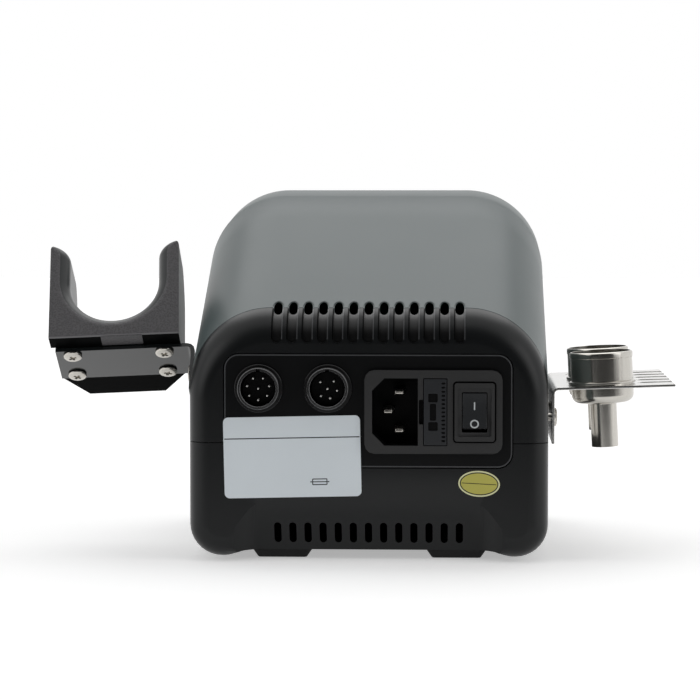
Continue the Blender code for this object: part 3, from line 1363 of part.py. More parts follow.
def make_knob_group(knob_finish, metal_finish, body_finish):
    """Airflow dial: bush and body on the board, shaft through them, ribbed knob on the shaft."""
    x, y = KNOB_CENTRE
    place = at(x, y, 0.0)
    low = BOARD_FACE + GAP
    bush_top = FASCIA_FACE
    case = plate(KNOB_CENTRE, (DIAL_BODY, DIAL_BODY), GAP, low, low + DIAL_BODY_THICKNESS)
    dial = add("airflow_dial_body", case, body_finish)
    fuse(dial, prism(circle(x, y, BUSH_RADIUS, SMALL_ROUND_STEPS), low + OVERLAP, bush_top, "Z"))
    cut(dial, prism(circle(x, y, SHAFT_RADIUS + GAP, SMALL_ROUND_STEPS), low - REACH, bush_top + REACH, "Z"))
    shaft_top = FASCIA_FACE + SHAFT_PROUD
    origin = (x, y, 0.0)
    stick = moved(rod(SHAFT_RADIUS, CONTROL_BOARD_BACK, shaft_top), place)
    shaft = add("airflow_shaft", stick, metal_finish, origin)
    base = FASCIA_FACE + GAP
    profile = (
        (0.0, base + KNOB_HEIGHT),
        (KNOB_TOP_RADIUS - KNOB_CHAMFER, base + KNOB_HEIGHT),
        (KNOB_TOP_RADIUS, base + KNOB_HEIGHT - KNOB_CHAMFER),
        (KNOB_RADIUS, base),
        (KNOB_RADIUS - KNOB_WALL, base),
        (KNOB_TOP_RADIUS - KNOB_WALL, base + KNOB_HEIGHT - 2 * KNOB_WALL),
        (KNOB_HUB_RADIUS, base + KNOB_HEIGHT - 2 * KNOB_WALL),
        (KNOB_HUB_RADIUS, base + GAP),
        (0.0, base + GAP),
    )
    knob = add("airflow_knob", moved(lathe(profile, 2 * KNOB_GRIPS), place), knob_finish, origin)
    grip_top = base + KNOB_HEIGHT - KNOB_WALL
    grips = [
        moved(rod(KNOB_GRIP_RADIUS, base - REACH, grip_top, PIN_STEPS), at(gx, gy, 0.0))
        for gx, gy in circle(x, y, KNOB_RADIUS, KNOB_GRIPS)
    ]
    cut(knob, *grips)
    socket = prism(circle(x, y, SHAFT_RADIUS + GAP, SMALL_ROUND_STEPS), base - REACH, shaft_top + GAP, "Z")
    cut(knob, socket)
    mark_width, mark_depth = KNOB_MARK
    mark_low = (x - mark_width / 2, y + KNOB_MARK_START, base + KNOB_HEIGHT - mark_depth)
    mark_high = (x + mark_width / 2, y + KNOB_RADIUS, base + KNOB_HEIGHT + REACH)
    cut(knob, box(mark_low, mark_high))
    return [dial, shaft, knob]


def make_front_group(black, glossy, board, rubber, plated, plastic):
    """Everything drawn in the tilted plane of the front face."""
    frame = frame_empty("front_frame", FRONT_FRAME)
    pieces = [make_front_panel(black), *make_display(glossy, plastic), *make_keys(rubber)]
    pieces += [make_control_board(board), *make_knob_group(black, plated, plastic)]
    for piece in pieces:
        piece.parent = frame
    return frame


def make_power_board(finish):
    """Mains board on four bosses of the base."""
    centre = (0.0, POWER_BOARD_Y)
    low = POWER_BOARD_HEIGHT
    board = add("power_board", plate(centre, POWER_BOARD_SIZE, BOARD_RADIUS, low, low + BOARD_THICKNESS), finish)
    radius = SCREW_SMALL[2] + SCREW_FIT
    cut(board, *[moved(rod(radius, low - REACH, low + REACH), at(x, y, 0.0)) for x, y in board_corners()])
    return board


def make_board_screws(finish):
    """Small screws that hold the power board."""
    seat = POWER_BOARD_HEIGHT + BOARD_THICKNESS + GAP
    for number, (x, y) in enumerate(board_corners(), 1):
        solid = moved(screw(SCREW_SMALL, BOARD_SCREW_LENGTH), at(x, y, seat))
        add(f"board_screw_{number}", solid, finish)


def block(centre, size, low):
    """Block standing at a height, centred on a place."""
    x, y = centre
    half_x, half_y = size[0] / 2, size[1] / 2
    return box((x - half_x, y - half_y, low), (x + half_x, y + half_y, low + size[2]))


def make_power_parts(steel, alloy, plastic):
    """Transformer, finned heat sink and smoothing capacitor on the power board."""
    low = POWER_BOARD_HEIGHT + BOARD_THICKNESS + GAP
    transformer = add("transformer", block(CORE_CENTRE, CORE_SIZE, low), steel)
    coil_low = low + (CORE_SIZE[2] - COIL_SIZE[2]) / 2
    outline = rounded_rectangle(*CORE_CENTRE, COIL_SIZE[0], COIL_SIZE[1], COIL_RADIUS)
    fuse(transformer, prism(outline, coil_low, coil_low + COIL_SIZE[2], "Z"))
    heatsink = add("heat_sink", block(HEATSINK_CENTRE, HEATSINK_SIZE, low), alloy)
    spacing = (HEATSINK_SIZE[1] - FIN_THICKNESS) / (HEATSINK_FINS - 1)
    notch = spacing - FIN_THICKNESS
    first = HEATSINK_CENTRE[1] - HEATSINK_SIZE[1] / 2 + FIN_THICKNESS
    edge = HEATSINK_CENTRE[0] - HEATSINK_SIZE[0] / 2 + HEATSINK_BASE
    under, above = low - REACH, low + HEATSINK_SIZE[2] + REACH
    channels = []
    for i in range(HEATSINK_FINS - 1):
        start = first + i * spacing
        channels.append(box((edge, start, under), (edge + HEATSINK_SIZE[0], start + notch, above)))
    cut(heatsink, *channels)
    capacitor = moved(lathe((
        (0.0, 0.0),
        (CAPACITOR_RADIUS, 0.0),
        (CAPACITOR_RADIUS, CAPACITOR_HEIGHT - CAPACITOR_CHAMFER),
        (CAPACITOR_RADIUS - CAPACITOR_CHAMFER, CAPACITOR_HEIGHT),
        (0.0, CAPACITOR_HEIGHT),
    ), SMALL_ROUND_STEPS), at(*CAPACITOR_CENTRE, low))
    add("capacitor", capacitor, plastic)


def centre_on_floor(root):
    """Put the middle of the whole object's footprint at the origin, with the floor at Z = 0."""
    bpy.context.view_layer.update()
    low = Vector((1.0, 1.0, 1.0))
    high = -low
    for item in bpy.context.scene.objects:
        if item.type != "MESH":
            continue
        for vertex in item.data.vertices:
            point = item.matrix_world @ vertex.co
            low = Vector(map(min, low, point))
            high = Vector(map(max, high, point))
    root.location = (-(low.x + high.x) / 2, -(low.y + high.y) / 2, -low.z)


def finish_surfaces():
    """Smooth shading with sharp edges kept."""
    for item in bpy.context.scene.objects:
        if item.type == "MESH":
            item.data.shade_smooth()
            item.data.set_sharp_from_angle(angle=SMOOTH_ANGLE)


def main():
    """Build every piece and centre the object."""
    clear_scene()
    black = material("black_moulding", (0.012, 0.012, 0.013), 0.42)
    grey = material("grey_moulding", (0.205, 0.225, 0.222), 0.4)
    textured = material("textured_plastic", (0.02, 0.021, 0.022), 0.6)
    dark = material("module_plastic", (0.022, 0.022, 0.022), 0.45)
    enamel = material("enamelled_steel", (0.015, 0.015, 0.016), 0.15, 0.3)
    plated = material("plated_steel", (0.62, 0.61, 0.58), 0.25, 1.0)
    bright = material("bright_sheet", (0.66, 0.66, 0.65), 0.2, 1.0)
    rubber = material("black_rubber", (0.014, 0.014, 0.014), 0.8)
    board = material("circuit_board", (0.01, 0.09, 0.04), 0.5)
    glossy = material("display_glass", (0.006, 0.006, 0.008), 0.06)
    alloy = material("extruded_aluminium", (0.7, 0.71, 0.72), 0.4, 1.0)
    iron = material("transformer_steel", (0.18, 0.17, 0.16), 0.5, 0.8)

    make_base_shell(black)
    make_rear_bezel(black)
    make_top_cover(grey)
    make_housing_screws(plated)
    make_feet(rubber)
    make_rear_panel(black)
    make_mains_module(dark)
    make_inlet_blades(plated)
    make_fuse_drawer(dark, plated)
    make_rocker(dark)
    make_socket("gun_socket", GUN_SOCKET_X, GUN_PINS, GUN_PIN_CIRCLE, plated, dark)
    make_socket("iron_socket", IRON_SOCKET_X, IRON_PINS, IRON_PIN_CIRCLE, plated, dark)
    make_nozzle_rack(bright)
    make_rack_screws(plated)
    make_nozzles(bright)
    make_cradle_group(textured, enamel, plated)
    make_front_group(black, glossy, board, rubber, plated, dark)
    make_power_board(board)
    make_board_screws(plated)
    make_power_parts(iron, alloy, dark)

    root = frame_empty("station", Matrix.Identity(4))
    for item in list(bpy.context.scene.objects):
        if item is not root and item.parent is None:
            item.parent = root
    finish_surfaces()
    centre_on_floor(root)


main()
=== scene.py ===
"""Looks of a hot air rework station: finishes, fine surfaces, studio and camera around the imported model."""

import json
import logging
from dataclasses import dataclass
from enum import Enum
from math import acos, atan, cos, hypot, pi, radians, sin, sqrt, tan
from typing import Callable, Iterable, Sequence

import bmesh
import bpy
from mathutils import Matrix, Vector
from mathutils.bvhtree import BVHTree


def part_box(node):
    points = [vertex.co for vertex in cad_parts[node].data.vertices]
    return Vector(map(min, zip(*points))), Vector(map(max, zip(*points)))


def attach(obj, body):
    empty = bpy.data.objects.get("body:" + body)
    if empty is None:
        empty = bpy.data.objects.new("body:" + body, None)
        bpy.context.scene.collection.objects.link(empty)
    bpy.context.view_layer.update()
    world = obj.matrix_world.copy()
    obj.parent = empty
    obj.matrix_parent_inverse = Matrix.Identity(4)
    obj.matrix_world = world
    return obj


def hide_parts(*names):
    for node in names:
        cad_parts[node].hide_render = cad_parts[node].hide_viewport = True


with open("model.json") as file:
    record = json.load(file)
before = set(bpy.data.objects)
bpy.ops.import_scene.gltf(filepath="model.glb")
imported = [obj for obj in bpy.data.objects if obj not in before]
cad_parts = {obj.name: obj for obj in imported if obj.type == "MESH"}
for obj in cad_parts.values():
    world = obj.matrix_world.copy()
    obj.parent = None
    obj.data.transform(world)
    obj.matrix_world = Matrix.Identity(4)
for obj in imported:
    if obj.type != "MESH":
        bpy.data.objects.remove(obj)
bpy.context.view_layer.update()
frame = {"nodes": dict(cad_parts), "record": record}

log = logging.getLogger("station")

MM = 0.001
Point = tuple[float, float]
Colour = tuple[float, float, float]
DARK: Colour = (0.0, 0.0, 0.0)
WHITE: Colour = (1.0, 1.0, 1.0)
SMOOTH_ANGLE = 32.0
BEVEL_ANGLE = 38.0
FACE_WEIGHT = 80
BEVEL = 0.2 * MM
FEW_OCTAVES = 2.0
MORE_OCTAVES = 4.0
MANY_OCTAVES = 5.0


class Axis(Enum):
    """Direction that an outline is extruded along."""

    X = 0
    Y = 1
    Z = 2


class Join(Enum):
    """Ways of joining two solids."""

    ADD = "UNION"
    TAKE = "DIFFERENCE"
    KEEP = "INTERSECT"


def arc(centre: Point, radius: float, start: float, end: float, steps: int) -> list[Point]:
    """Points of an arc.

    Args:
        centre: Centre of the arc.
        radius: Radius in metres.
        start: First angle in radians.
        end: Last angle in radians.
        steps: Number of chords.

    Returns:
        The points, both ends included.
    """
    angles = [start + (end - start) * i / steps for i in range(steps + 1)]
    return [(centre[0] + radius * cos(a), centre[1] + radius * sin(a)) for a in angles]


def ease(along: float) -> float:
    """Smooth step from 0 to 1."""
    return along * along * (3 - 2 * along)


def circle(centre: Point, radius: float, steps: int) -> list[Point]:
    """Closed round outline of that many points."""
    return arc(centre, radius, 0.0, 2 * pi, steps)[:-1]


def rounded(centre: Point, size: Point, radius: float, steps: int = 6) -> list[Point]:
    """Closed rectangle with round corners.

    Args:
        centre: Middle of the rectangle.
        size: Width and height.
        radius: Corner radius.
        steps: Chords in each corner.

    Returns:
        The outline's points, anticlockwise.
    """
    points: list[Point] = []
    for turn, (side_a, side_b) in enumerate(((1, 1), (-1, 1), (-1, -1), (1, -1))):
        corner = (
            centre[0] + side_a * (size[0] / 2 - radius),
            centre[1] + side_b * (size[1] / 2 - radius),
        )
        points += arc(corner, radius, turn * pi / 2, (turn + 1) * pi / 2, steps)
    return points


def spot(point: Point, level: float, axis: Axis) -> tuple[float, float, float]:
    """Place of an outline's point at a level along an axis."""
    a, b = point
    return {Axis.X: (level, a, b), Axis.Y: (a, level, b), Axis.Z: (a, b, level)}[axis]


def loft(rings: Sequence[Sequence[Sequence[float]]]) -> bmesh.types.BMesh:
    """Closed solid through rings.

    Args:
        rings: Rings of equal count, from one end to the other.

    Returns:
        The solid, capped at both ends.
    """
    solid = bmesh.new()
    loops = [[solid.verts.new(point) for point in ring] for ring in rings]
    count = len(loops[0])
    for near, far in zip(loops, loops[1:]):
        for i in range(count):
            j = (i + 1) % count
            solid.faces.new((near[i], near[j], far[j], far[i]))
    solid.faces.new(loops[0])
    solid.faces.new(loops[-1])
    bmesh.ops.recalc_face_normals(solid, faces=solid.faces)
    return solid


def prism(outline: Sequence[Point], low: float, high: float, axis: Axis) -> bmesh.types.BMesh:
    """Straight extrusion of an outline between two levels."""
    return loft([[spot(point, level, axis) for point in outline] for level in (low, high)])


def block(low: Sequence[float], high: Sequence[float]) -> bmesh.types.BMesh:
    """Block between two corners."""
    outline = ((low[0], low[1]), (high[0], low[1]), (high[0], high[1]), (low[0], high[1]))
    return prism(outline, low[2], high[2], Axis.Z)


def lathe(profile: Sequence[Point], steps: int) -> bmesh.types.BMesh:
    """Turned solid about Z.

    Args:
        profile: Radius and height of each point; one that starts off the axis closes on itself.
        steps: Facets around.

    Returns:
        The closed solid.
    """
    solid = bmesh.new()
    rings = []
    for radius, height in profile:
        around = steps if radius > 0.0 else 1
        angles = [2 * pi * i / steps for i in range(around)]
        rings.append([solid.verts.new((radius * cos(a), radius * sin(a), height)) for a in angles])
    following = rings[1:] + (rings[:1] if profile[0][0] > 0.0 else [])
    for near, far in zip(rings, following):
        for i in range(steps):
            j = (i + 1) % steps
            four = (near[i % len(near)], near[j % len(near)], far[j % len(far)], far[i % len(far)])
            unique = list(dict.fromkeys(four))
            if len(unique) > 2:
                solid.faces.new(unique)
    bmesh.ops.recalc_face_normals(solid, faces=solid.faces)
    return solid


def band(
    outer: Sequence[Point], inner: Sequence[Point], low: float, high: float, axis: Axis
) -> bmesh.types.BMesh:
    """Closed frame between two outlines of equal count.

    Args:
        outer: Outside outline.
        inner: Inside outline.
        low: First level along the axis.
        high: Second level along the axis.
        axis: Direction of the levels.

    Returns:
        The frame's solid.
    """
    solid = bmesh.new()
    loops = [
        [solid.verts.new(spot(point, level, axis)) for point in outline]
        for outline, level in ((outer, low), (outer, high), (inner, high), (inner, low))
    ]
    count = len(outer)
    for near, far in zip(loops, loops[1:] + loops[:1]):
        for i in range(count):
            j = (i + 1) % count
            solid.faces.new((near[i], near[j], far[j], far[i]))
    bmesh.ops.recalc_face_normals(solid, faces=solid.faces)
    return solid


def moved(solid: bmesh.types.BMesh, matrix: Matrix) -> bmesh.types.BMesh:
    """The same solid in another frame."""
    solid.transform(matrix)
    return solid


def joined(solids: Iterable[bmesh.types.BMesh]) -> bmesh.types.BMesh:
    """Several solids held in one mesh."""
    holder = bpy.data.meshes.new("holder")
    gathered = bmesh.new()
    for solid in solids:
        solid.to_mesh(holder)
        solid.free()
        gathered.from_mesh(holder)
    bpy.data.meshes.remove(holder)
    return gathered


def new_object(name: str, solid: bmesh.types.BMesh) -> bpy.types.Object:
    """Object at the origin from a solid, which is used up."""
    mesh = bpy.data.meshes.new(name)
    solid.to_mesh(mesh)
    solid.free()
    item = bpy.data.objects.new(name, mesh)
    bpy.context.scene.collection.objects.link(item)
    return item


def settle(item: bpy.types.Object) -> bpy.types.Object:
    """Turn an object's modifiers into its plain mesh."""
    graph = bpy.context.evaluated_depsgraph_get()
    mesh = bpy.data.meshes.new_from_object(item.evaluated_get(graph))
    item.modifiers.clear()
    item.data = mesh
    return item


def combine(solid: bmesh.types.BMesh, other: bmesh.types.BMesh, how: Join) -> bmesh.types.BMesh:
    """Boolean of two solids.

    Args:
        solid: Solid that is changed.
        other: Solid that is added, taken away or intersected.
        how: Way of joining.

    Returns:
        The new solid.
    """
    item = new_object("work", solid)
    tool = new_object("work_tool", other)
    change = item.modifiers.new("shape", "BOOLEAN")
    change.operation = how.value
    change.solver = "EXACT"
    change.object = tool
    settle(item)
    result = bmesh.new()
    result.from_mesh(item.data)
    bpy.data.objects.remove(item)
    bpy.data.objects.remove(tool)
    return result


def soften(item: bpy.types.Object, width: float, segments: int = 2, angle: float = BEVEL_ANGLE) -> None:
    """Round an object's sharp edges.

    Args:
        item: Object to change.
        width: Bevel width in metres.
        segments: Bevel segments.
        angle: Least angle of an edge that is rounded, in degrees.
    """
    change = item.modifiers.new("edges", "BEVEL")
    change.width = width
    change.segments = segments
    change.limit_method = "ANGLE"
    change.angle_limit = radians(angle)
    change.use_clamp_overlap = True
    settle(item)


def smooth(item: bpy.types.Object, angle: float) -> None:
    """Smooth shading that keeps edges above an angle in degrees sharp and large faces flat."""
    item.data.shade_smooth()
    item.data.set_sharp_from_angle(angle=radians(angle))
    change = item.modifiers.new("normals", "WEIGHTED_NORMAL")
    change.keep_sharp = True
    change.weight = FACE_WEIGHT
    settle(item)


class Value:
    """A socket, or a number, that takes part in Python arithmetic."""

    def __init__(self, graph: "Tree", link: object) -> None:
        """Wrap a socket or a number of one tree."""
        self.graph = graph
        self.link = link

    def _math(self, operation: str, *others: object) -> "Value":
        """Math node on this value and others."""
        values = {i: other for i, other in enumerate((self, *others))}
        return self.graph.node("ShaderNodeMath", {"operation": operation}, values)

    def __add__(self, other: object) -> "Value":
        """Sum."""
        return self._math("ADD", other)

    def __radd__(self, other: object) -> "Value":
        """Sum with a number on the left."""
        return self._math("ADD", other)

    def __mul__(self, other: object) -> "Value":
        """Product."""
        return self._math("MULTIPLY", other)

    def __rmul__(self, other: object) -> "Value":
        """Product with a number on the left."""
        return self._math("MULTIPLY", other)

    def __sub__(self, other: object) -> "Value":
        """Difference."""
        return self._math("SUBTRACT", other)

    def __rsub__(self, other: object) -> "Value":
        """Difference from a number on the left."""
        return Value(self.graph, other)._math("SUBTRACT", self)

    def __truediv__(self, other: object) -> "Value":
        """Quotient."""
        return self._math("DIVIDE", other)

    def wave(self, function: str) -> "Value":
        """Sine or cosine, named as the Math node names it."""
        return self._math(function)

    def step(self, low: float, high: float) -> "Value":
        """Ramp from 0 at low to 1 at high, clamped."""
        settings = {"clamp": True}
        values = {"Value": self, "From Min": low, "From Max": high}
        return self.graph.node("ShaderNodeMapRange", settings, values)

    def __abs__(self) -> "Value":
        """Size without its sign."""
        return self._math("ABSOLUTE")

    def most(self, other: object) -> "Value":
        """The larger of two."""
        return self._math("MAXIMUM", other)

    def least(self, other: object) -> "Value":
        """The smaller of two."""
        return self._math("MINIMUM", other)

    def length(self, other: "Value") -> "Value":
        """Hypotenuse of this and another value."""
        return (self * self + other * other)._math("SQRT")


class Tree:
    """Node tree that is filled by one method."""

    def __init__(self, tree: bpy.types.NodeTree) -> None:
        """Take over a tree."""
        self.tree = tree

    def node(self, kind: str, settings: dict, values: dict, output: str | int = 0) -> Value:
        """Add a node.

        Args:
            kind: Node type.
            settings: Attributes set before the sockets.
            values: Numbers, vectors or Values for the sockets, by name or index.
            output: Socket that the result wraps.

        Returns:
            The chosen output.
        """
        made = self.tree.nodes.new(kind)
        for key, setting in settings.items():
            setattr(made, key, setting)
        for key, value in values.items():
            if isinstance(value, Value):
                value = value.link
            if isinstance(value, bpy.types.NodeSocket):
                self.tree.links.new(value, made.inputs[key])
            else:
                made.inputs[key].default_value = value
        return Value(self, made.outputs[output])


class Graph(Tree):
    """Shader tree of one material, or of the world."""

    colour_inputs = (0, 6, 7)
    colour_output = 2

    def __init__(self, name: str, world: bool = False) -> None:
        """Start a tree with its surface or background shader."""
        self.material = (bpy.data.worlds if world else bpy.data.materials).new(name)
        self.material.use_nodes = True
        super().__init__(self.material.node_tree)
        self.shader = self.tree.nodes["Background" if world else "Principled BSDF"]

    def place(self, scale: Sequence[float] = (1.0, 1.0, 1.0)) -> Value:
        """Object coordinates, scaled."""
        source = self.node("ShaderNodeTexCoord", {}, {}, "Object")
        return self.node("ShaderNodeMapping", {}, {"Vector": source, "Scale": scale})

    def noise(self, where: Value, scale: float, detail: float = 3.0, rough: float = 0.5) -> Value:
        """Soft noise, 0 to 1, with its scale in cycles per metre."""
        values = {"Vector": where, "Scale": scale, "Detail": detail, "Roughness": rough}
        return self.node("ShaderNodeTexNoise", {}, values, "Fac")

    def ray(self, kind: str) -> Value:
        """Light Path output, 1 on rays of that kind."""
        return self.node("ShaderNodeLightPath", {}, {}, f"Is {kind} Ray")

    def cells(self, where: Value, scale: float) -> Value:
        """Distance to the nearest point of a cell pattern."""
        return self.node("ShaderNodeTexVoronoi", {}, {"Vector": where, "Scale": scale}, "Distance")

    def axis(self, where: Value, name: str) -> Value:
        """One component of a vector, by name."""
        return self.node("ShaderNodeSeparateXYZ", {}, {"Vector": where}, name)

    def blend(self, amount: Value, first: Colour, second: Colour) -> Value:
        """Colour between two, by an amount from 0 to 1."""
        factor, one, other = self.colour_inputs
        values = {factor: amount, one: (*first, 1.0), other: (*second, 1.0)}
        return self.node("ShaderNodeMix", {"data_type": "RGBA"}, values, self.colour_output)

    def bump(self, height: Value, distance: float, strength: float = 1.0) -> None:
        """Feed a height to the shader's normal."""
        values = {"Height": height, "Distance": distance, "Strength": strength}
        self.feed("Normal", self.node("ShaderNodeBump", {}, values))

    def feed(self, socket: str, value: object) -> None:
        """Give the shader a link or a constant."""
        if isinstance(value, Value):
            self.tree.links.new(value.link, self.shader.inputs[socket])
        else:
            self.shader.inputs[socket].default_value = value


def lighter(colour: Colour, factor: float) -> Colour:
    """The same hue, scaled."""
    return tuple(min(channel * factor, 1.0) for channel in colour)


@dataclass(frozen=True)
class Finish:
    """A surface finish and the record's slot that it belongs to."""

    name: str
    slot: str
    colour: Colour
    roughness: float

    def build(self) -> bpy.types.Material:
        """Make the material.

        Returns:
            The material, with the surface that the kind of finish paints.
        """
        graph = Graph(self.name)
        self.paint(graph)
        return graph.material

    def paint(self, graph: Graph) -> None:
        """Fill the shader tree."""
        raise NotImplementedError

    def shade(self, graph: Graph, tone: Value, low: float, high: float) -> None:
        """Colour that runs from a darker to a lighter shade of the finish's own."""
        graph.feed("Base Color", graph.blend(tone, lighter(self.colour, low), lighter(self.colour, high)))


@dataclass(frozen=True)
class Moulding(Finish):
    """Spark-eroded injection moulding: fine grain, faint flow streaks and uneven sheen."""

    grain: float = 2600.0
    depth: float = 0.04 * MM
    streak: float = 0.08
    specular: float = 0.5
    cloud: float = 38.0
    flow: tuple[float, float, float] = (14.0, 14.0, 60.0)
    cloud_share: float = 0.6
    sheen: float = 0.08
    grit: float = 0.03
    strength: float = 0.5

    def paint(self, graph: Graph) -> None:
        """Fill the shader tree."""
        where = graph.place()
        grain = graph.noise(where, self.grain, FEW_OCTAVES)
        cloud = graph.noise(where, self.cloud, MORE_OCTAVES)
        streaks = graph.noise(graph.place(self.flow), 1.0)
        tone = cloud * self.cloud_share + streaks * (1 - self.cloud_share)
        self.shade(graph, tone, 1 - self.streak, 1 + self.streak)
        graph.feed("Roughness", tone * self.sheen + (self.roughness - self.sheen / 2) + grain * self.grit)
        graph.feed("Specular IOR Level", self.specular)
        graph.bump(grain, self.depth, self.strength)


@dataclass(frozen=True)
class Textured(Finish):
    """Coarsely textured moulding with small pits; the colour is lighter where the relief stands higher, a
    painted highlight of the light they catch.
    """

    pits: float = 1500.0
    depth: float = 0.12 * MM
    fine: float = 4200.0
    cloud: float = 55.0
    pit_share: float = 0.7
    ramp: Point = (0.15, 0.65)
    tones: Point = (0.7, 1.5)
    sheen: float = 0.1
    strength: float = 0.7

    def paint(self, graph: Graph) -> None:
        """Fill the shader tree."""
        where = graph.place()
        pits = graph.cells(where, self.pits)
        fine = graph.noise(where, self.fine, FEW_OCTAVES)
        cloud = graph.noise(where, self.cloud)
        relief = pits * self.pit_share + fine * (1 - self.pit_share)
        # Base colour lighter on the relief's high points: painted highlight.
        self.shade(graph, relief.step(*self.ramp), *self.tones)
        graph.feed("Roughness", cloud * self.sheen + (self.roughness - self.sheen / 2))
        graph.bump(relief, self.depth, self.strength)


@dataclass(frozen=True)
class Metal(Finish):
    """Drawn or rolled metal: lines along one direction, faint smudges and small scratches."""

    along: Sequence[float] = (40.0, 40.0, 2200.0)
    line: float = 0.012 * MM
    smudge: float = 0.12
    cloud: float = 70.0
    scratch: tuple[float, float, float] = (900.0, 160.0, 420.0)
    scratch_ramp: Point = (0.62, 0.8)
    tones: Point = (0.82, 1.12)
    wear: tuple[float, float, float] = (0.06, 0.09, 0.12)
    rough: Point = (0.6, 0.7)
    strength: float = 0.4

    def paint(self, graph: Graph) -> None:
        """Fill the shader tree."""
        drawn, marked = self.rough
        lines = graph.noise(graph.place(self.along), 1.0, rough=drawn)
        cloud = graph.noise(graph.place(), self.cloud, MORE_OCTAVES)
        scratches = graph.noise(graph.place(self.scratch), 1.0, MANY_OCTAVES, marked)
        scratches = scratches.step(*self.scratch_ramp)
        self.shade(graph, lines * 0.5 + cloud * 0.5, *self.tones)
        graph.feed("Metallic", 1.0)
        grain, base, scored = self.wear
        worn = cloud * self.smudge + lines * grain
        graph.feed("Roughness", worn + (self.roughness - base) + scratches * scored)
        graph.bump(lines, self.line, self.strength)


@dataclass(frozen=True)
class Enamel(Finish):
    """Gloss black stove enamel on steel, with a slight orange peel."""

    peel: float = 420.0
    relief: float = 0.03 * MM
    dust: float = 2400.0
    dust_ramp: Point = (0.66, 0.8)
    dust_tone: Point = (0.25, 4.0)
    coat: Point = (0.6, 0.06)
    sheen: float = 0.06
    dull: float = 0.1
    strength: float = 0.3

    def paint(self, graph: Graph) -> None:
        """Fill the shader tree."""
        where = graph.place()
        peel = graph.noise(where, self.peel, FEW_OCTAVES)
        dust = graph.noise(where, self.dust, FEW_OCTAVES).step(*self.dust_ramp)
        share, pale = self.dust_tone
        self.shade(graph, dust * share, 1.0, pale)
        graph.feed("Roughness", peel * self.sheen + (self.roughness - self.sheen / 2) + dust * self.dull)
        graph.feed("Coat Weight", self.coat[0])
        graph.feed("Coat Roughness", self.coat[1])
        graph.bump(peel, self.relief, self.strength)


@dataclass(frozen=True)
class Rubber(Finish):
    """Matt rubber with a soft bloom."""

    bloom: float = 0.35
    fine: float = 3200.0
    relief: float = 0.03 * MM
    patches: float = 120.0
    ramp: Point = (0.35, 0.8)
    pale: float = 2.4
    sheen: float = 0.08
    strength: float = 0.5

    def paint(self, graph: Graph) -> None:
        """Fill the shader tree."""
        where = graph.place()
        fine = graph.noise(where, self.fine)
        bloom = graph.noise(where, self.patches, MORE_OCTAVES).step(*self.ramp)
        self.shade(graph, bloom * self.bloom, 1.0, self.pale)
        graph.feed("Roughness", bloom * self.sheen + self.roughness)
        graph.bump(fine, self.relief, self.strength)


@dataclass(frozen=True)
class Board(Finish):
    """Circuit board: solder mask over faint tracks."""

    track: float = 330.0
    offset: float = 0.4
    mortar: Point = (0.12, 0.2)
    fine: float = 2100.0
    pale: float = 2.0
    relief: float = 0.03 * MM
    sheen: float = 0.1
    strength: float = 0.5

    def paint(self, graph: Graph) -> None:
        """Fill the shader tree."""
        where = graph.place()
        width, fade = self.mortar
        tracks = graph.node(
            "ShaderNodeTexBrick", {"offset": self.offset},
            {"Vector": where, "Scale": self.track, "Mortar Size": width, "Mortar Smooth": fade}, "Fac",
        )
        fine = graph.noise(where, self.fine, FEW_OCTAVES)
        self.shade(graph, tracks, 1.0, self.pale)
        graph.feed("Roughness", fine * self.sheen + self.roughness)
        graph.bump(tracks, self.relief, self.strength)


@dataclass(frozen=True)
class Glass(Finish):
    """Tinted display window with faint wipe marks."""

    wipe: float = 0.05
    strokes: tuple[float, float, float] = (60.0, 20.0, 30.0)
    pale: float = 1.6
    relief: float = 0.01 * MM
    scale: float = 3.0
    strength: float = 0.2

    def paint(self, graph: Graph) -> None:
        """Fill the shader tree."""
        wipes = graph.noise(graph.place(self.strokes), self.scale, MANY_OCTAVES)
        self.shade(graph, wipes, 1.0, self.pale)
        graph.feed("Roughness", wipes * self.wipe + self.roughness)
        graph.bump(wipes, self.relief, self.strength)


@dataclass(frozen=True)
class Foil(Finish):
    """Printed plate film: satin metallic ink with fine grain."""

    metallic: float = 0.35
    grain: float = 5200.0
    cloud: float = 45.0
    tones: Point = (0.93, 1.06)
    sheen: float = 0.1
    relief: float = 0.008 * MM
    strength: float = 0.4

    def paint(self, graph: Graph) -> None:
        """Fill the shader tree."""
        where = graph.place()
        grain = graph.noise(where, self.grain, FEW_OCTAVES)
        cloud = graph.noise(where, self.cloud)
        tone = grain * 0.5 + cloud * 0.5
        self.shade(graph, tone, *self.tones)
        graph.feed("Metallic", self.metallic)
        graph.feed("Roughness", tone * self.sheen + self.roughness)
        graph.bump(grain, self.relief, self.strength)


BLACK = Moulding("black_moulding_finish", "black_moulding", (0.0060, 0.0068, 0.0074), 0.3, specular=0.29)
GREY = Moulding(
    "grey_moulding_finish", "grey_moulding", (0.082, 0.104, 0.105), 0.34, streak=0.04, specular=0.33
)
FASCIA = Moulding("fascia_finish", "black_moulding", (0.011, 0.011, 0.012), 0.45)
MODULE = Moulding("module_finish", "module_plastic", (0.021, 0.021, 0.0215), 0.42)
# Near-black for faces sunk into the mains module and fuse drawer: painted shade in the recesses.
MODULE_SHADE = Moulding("module_dark_finish", "module_plastic", (0.0028, 0.0028, 0.0030), 0.45, specular=0.1)
DRAWER = Moulding("drawer_finish", "module_plastic", (0.012, 0.0135, 0.0165), 0.38)
ROCKER = Moulding("rocker_finish", "module_plastic", (0.020, 0.0215, 0.0235), 0.34)
CRADLE = Textured("cradle_finish", "textured_plastic", (0.052, 0.050, 0.053), 0.5)
INSULATOR = Moulding("insulator_finish", "module_plastic", (0.0022, 0.0022, 0.0024), 0.5, specular=0.1)
ENAMEL = Enamel("enamel_finish", "enamelled_steel", (0.0095, 0.0112, 0.0118), 0.16)
PLATED = Metal("plated_finish", "plated_steel", (0.60, 0.575, 0.53), 0.26)
DARK_PLATED = Metal("dark_plated_finish", "plated_steel", (0.17, 0.165, 0.16), 0.3)
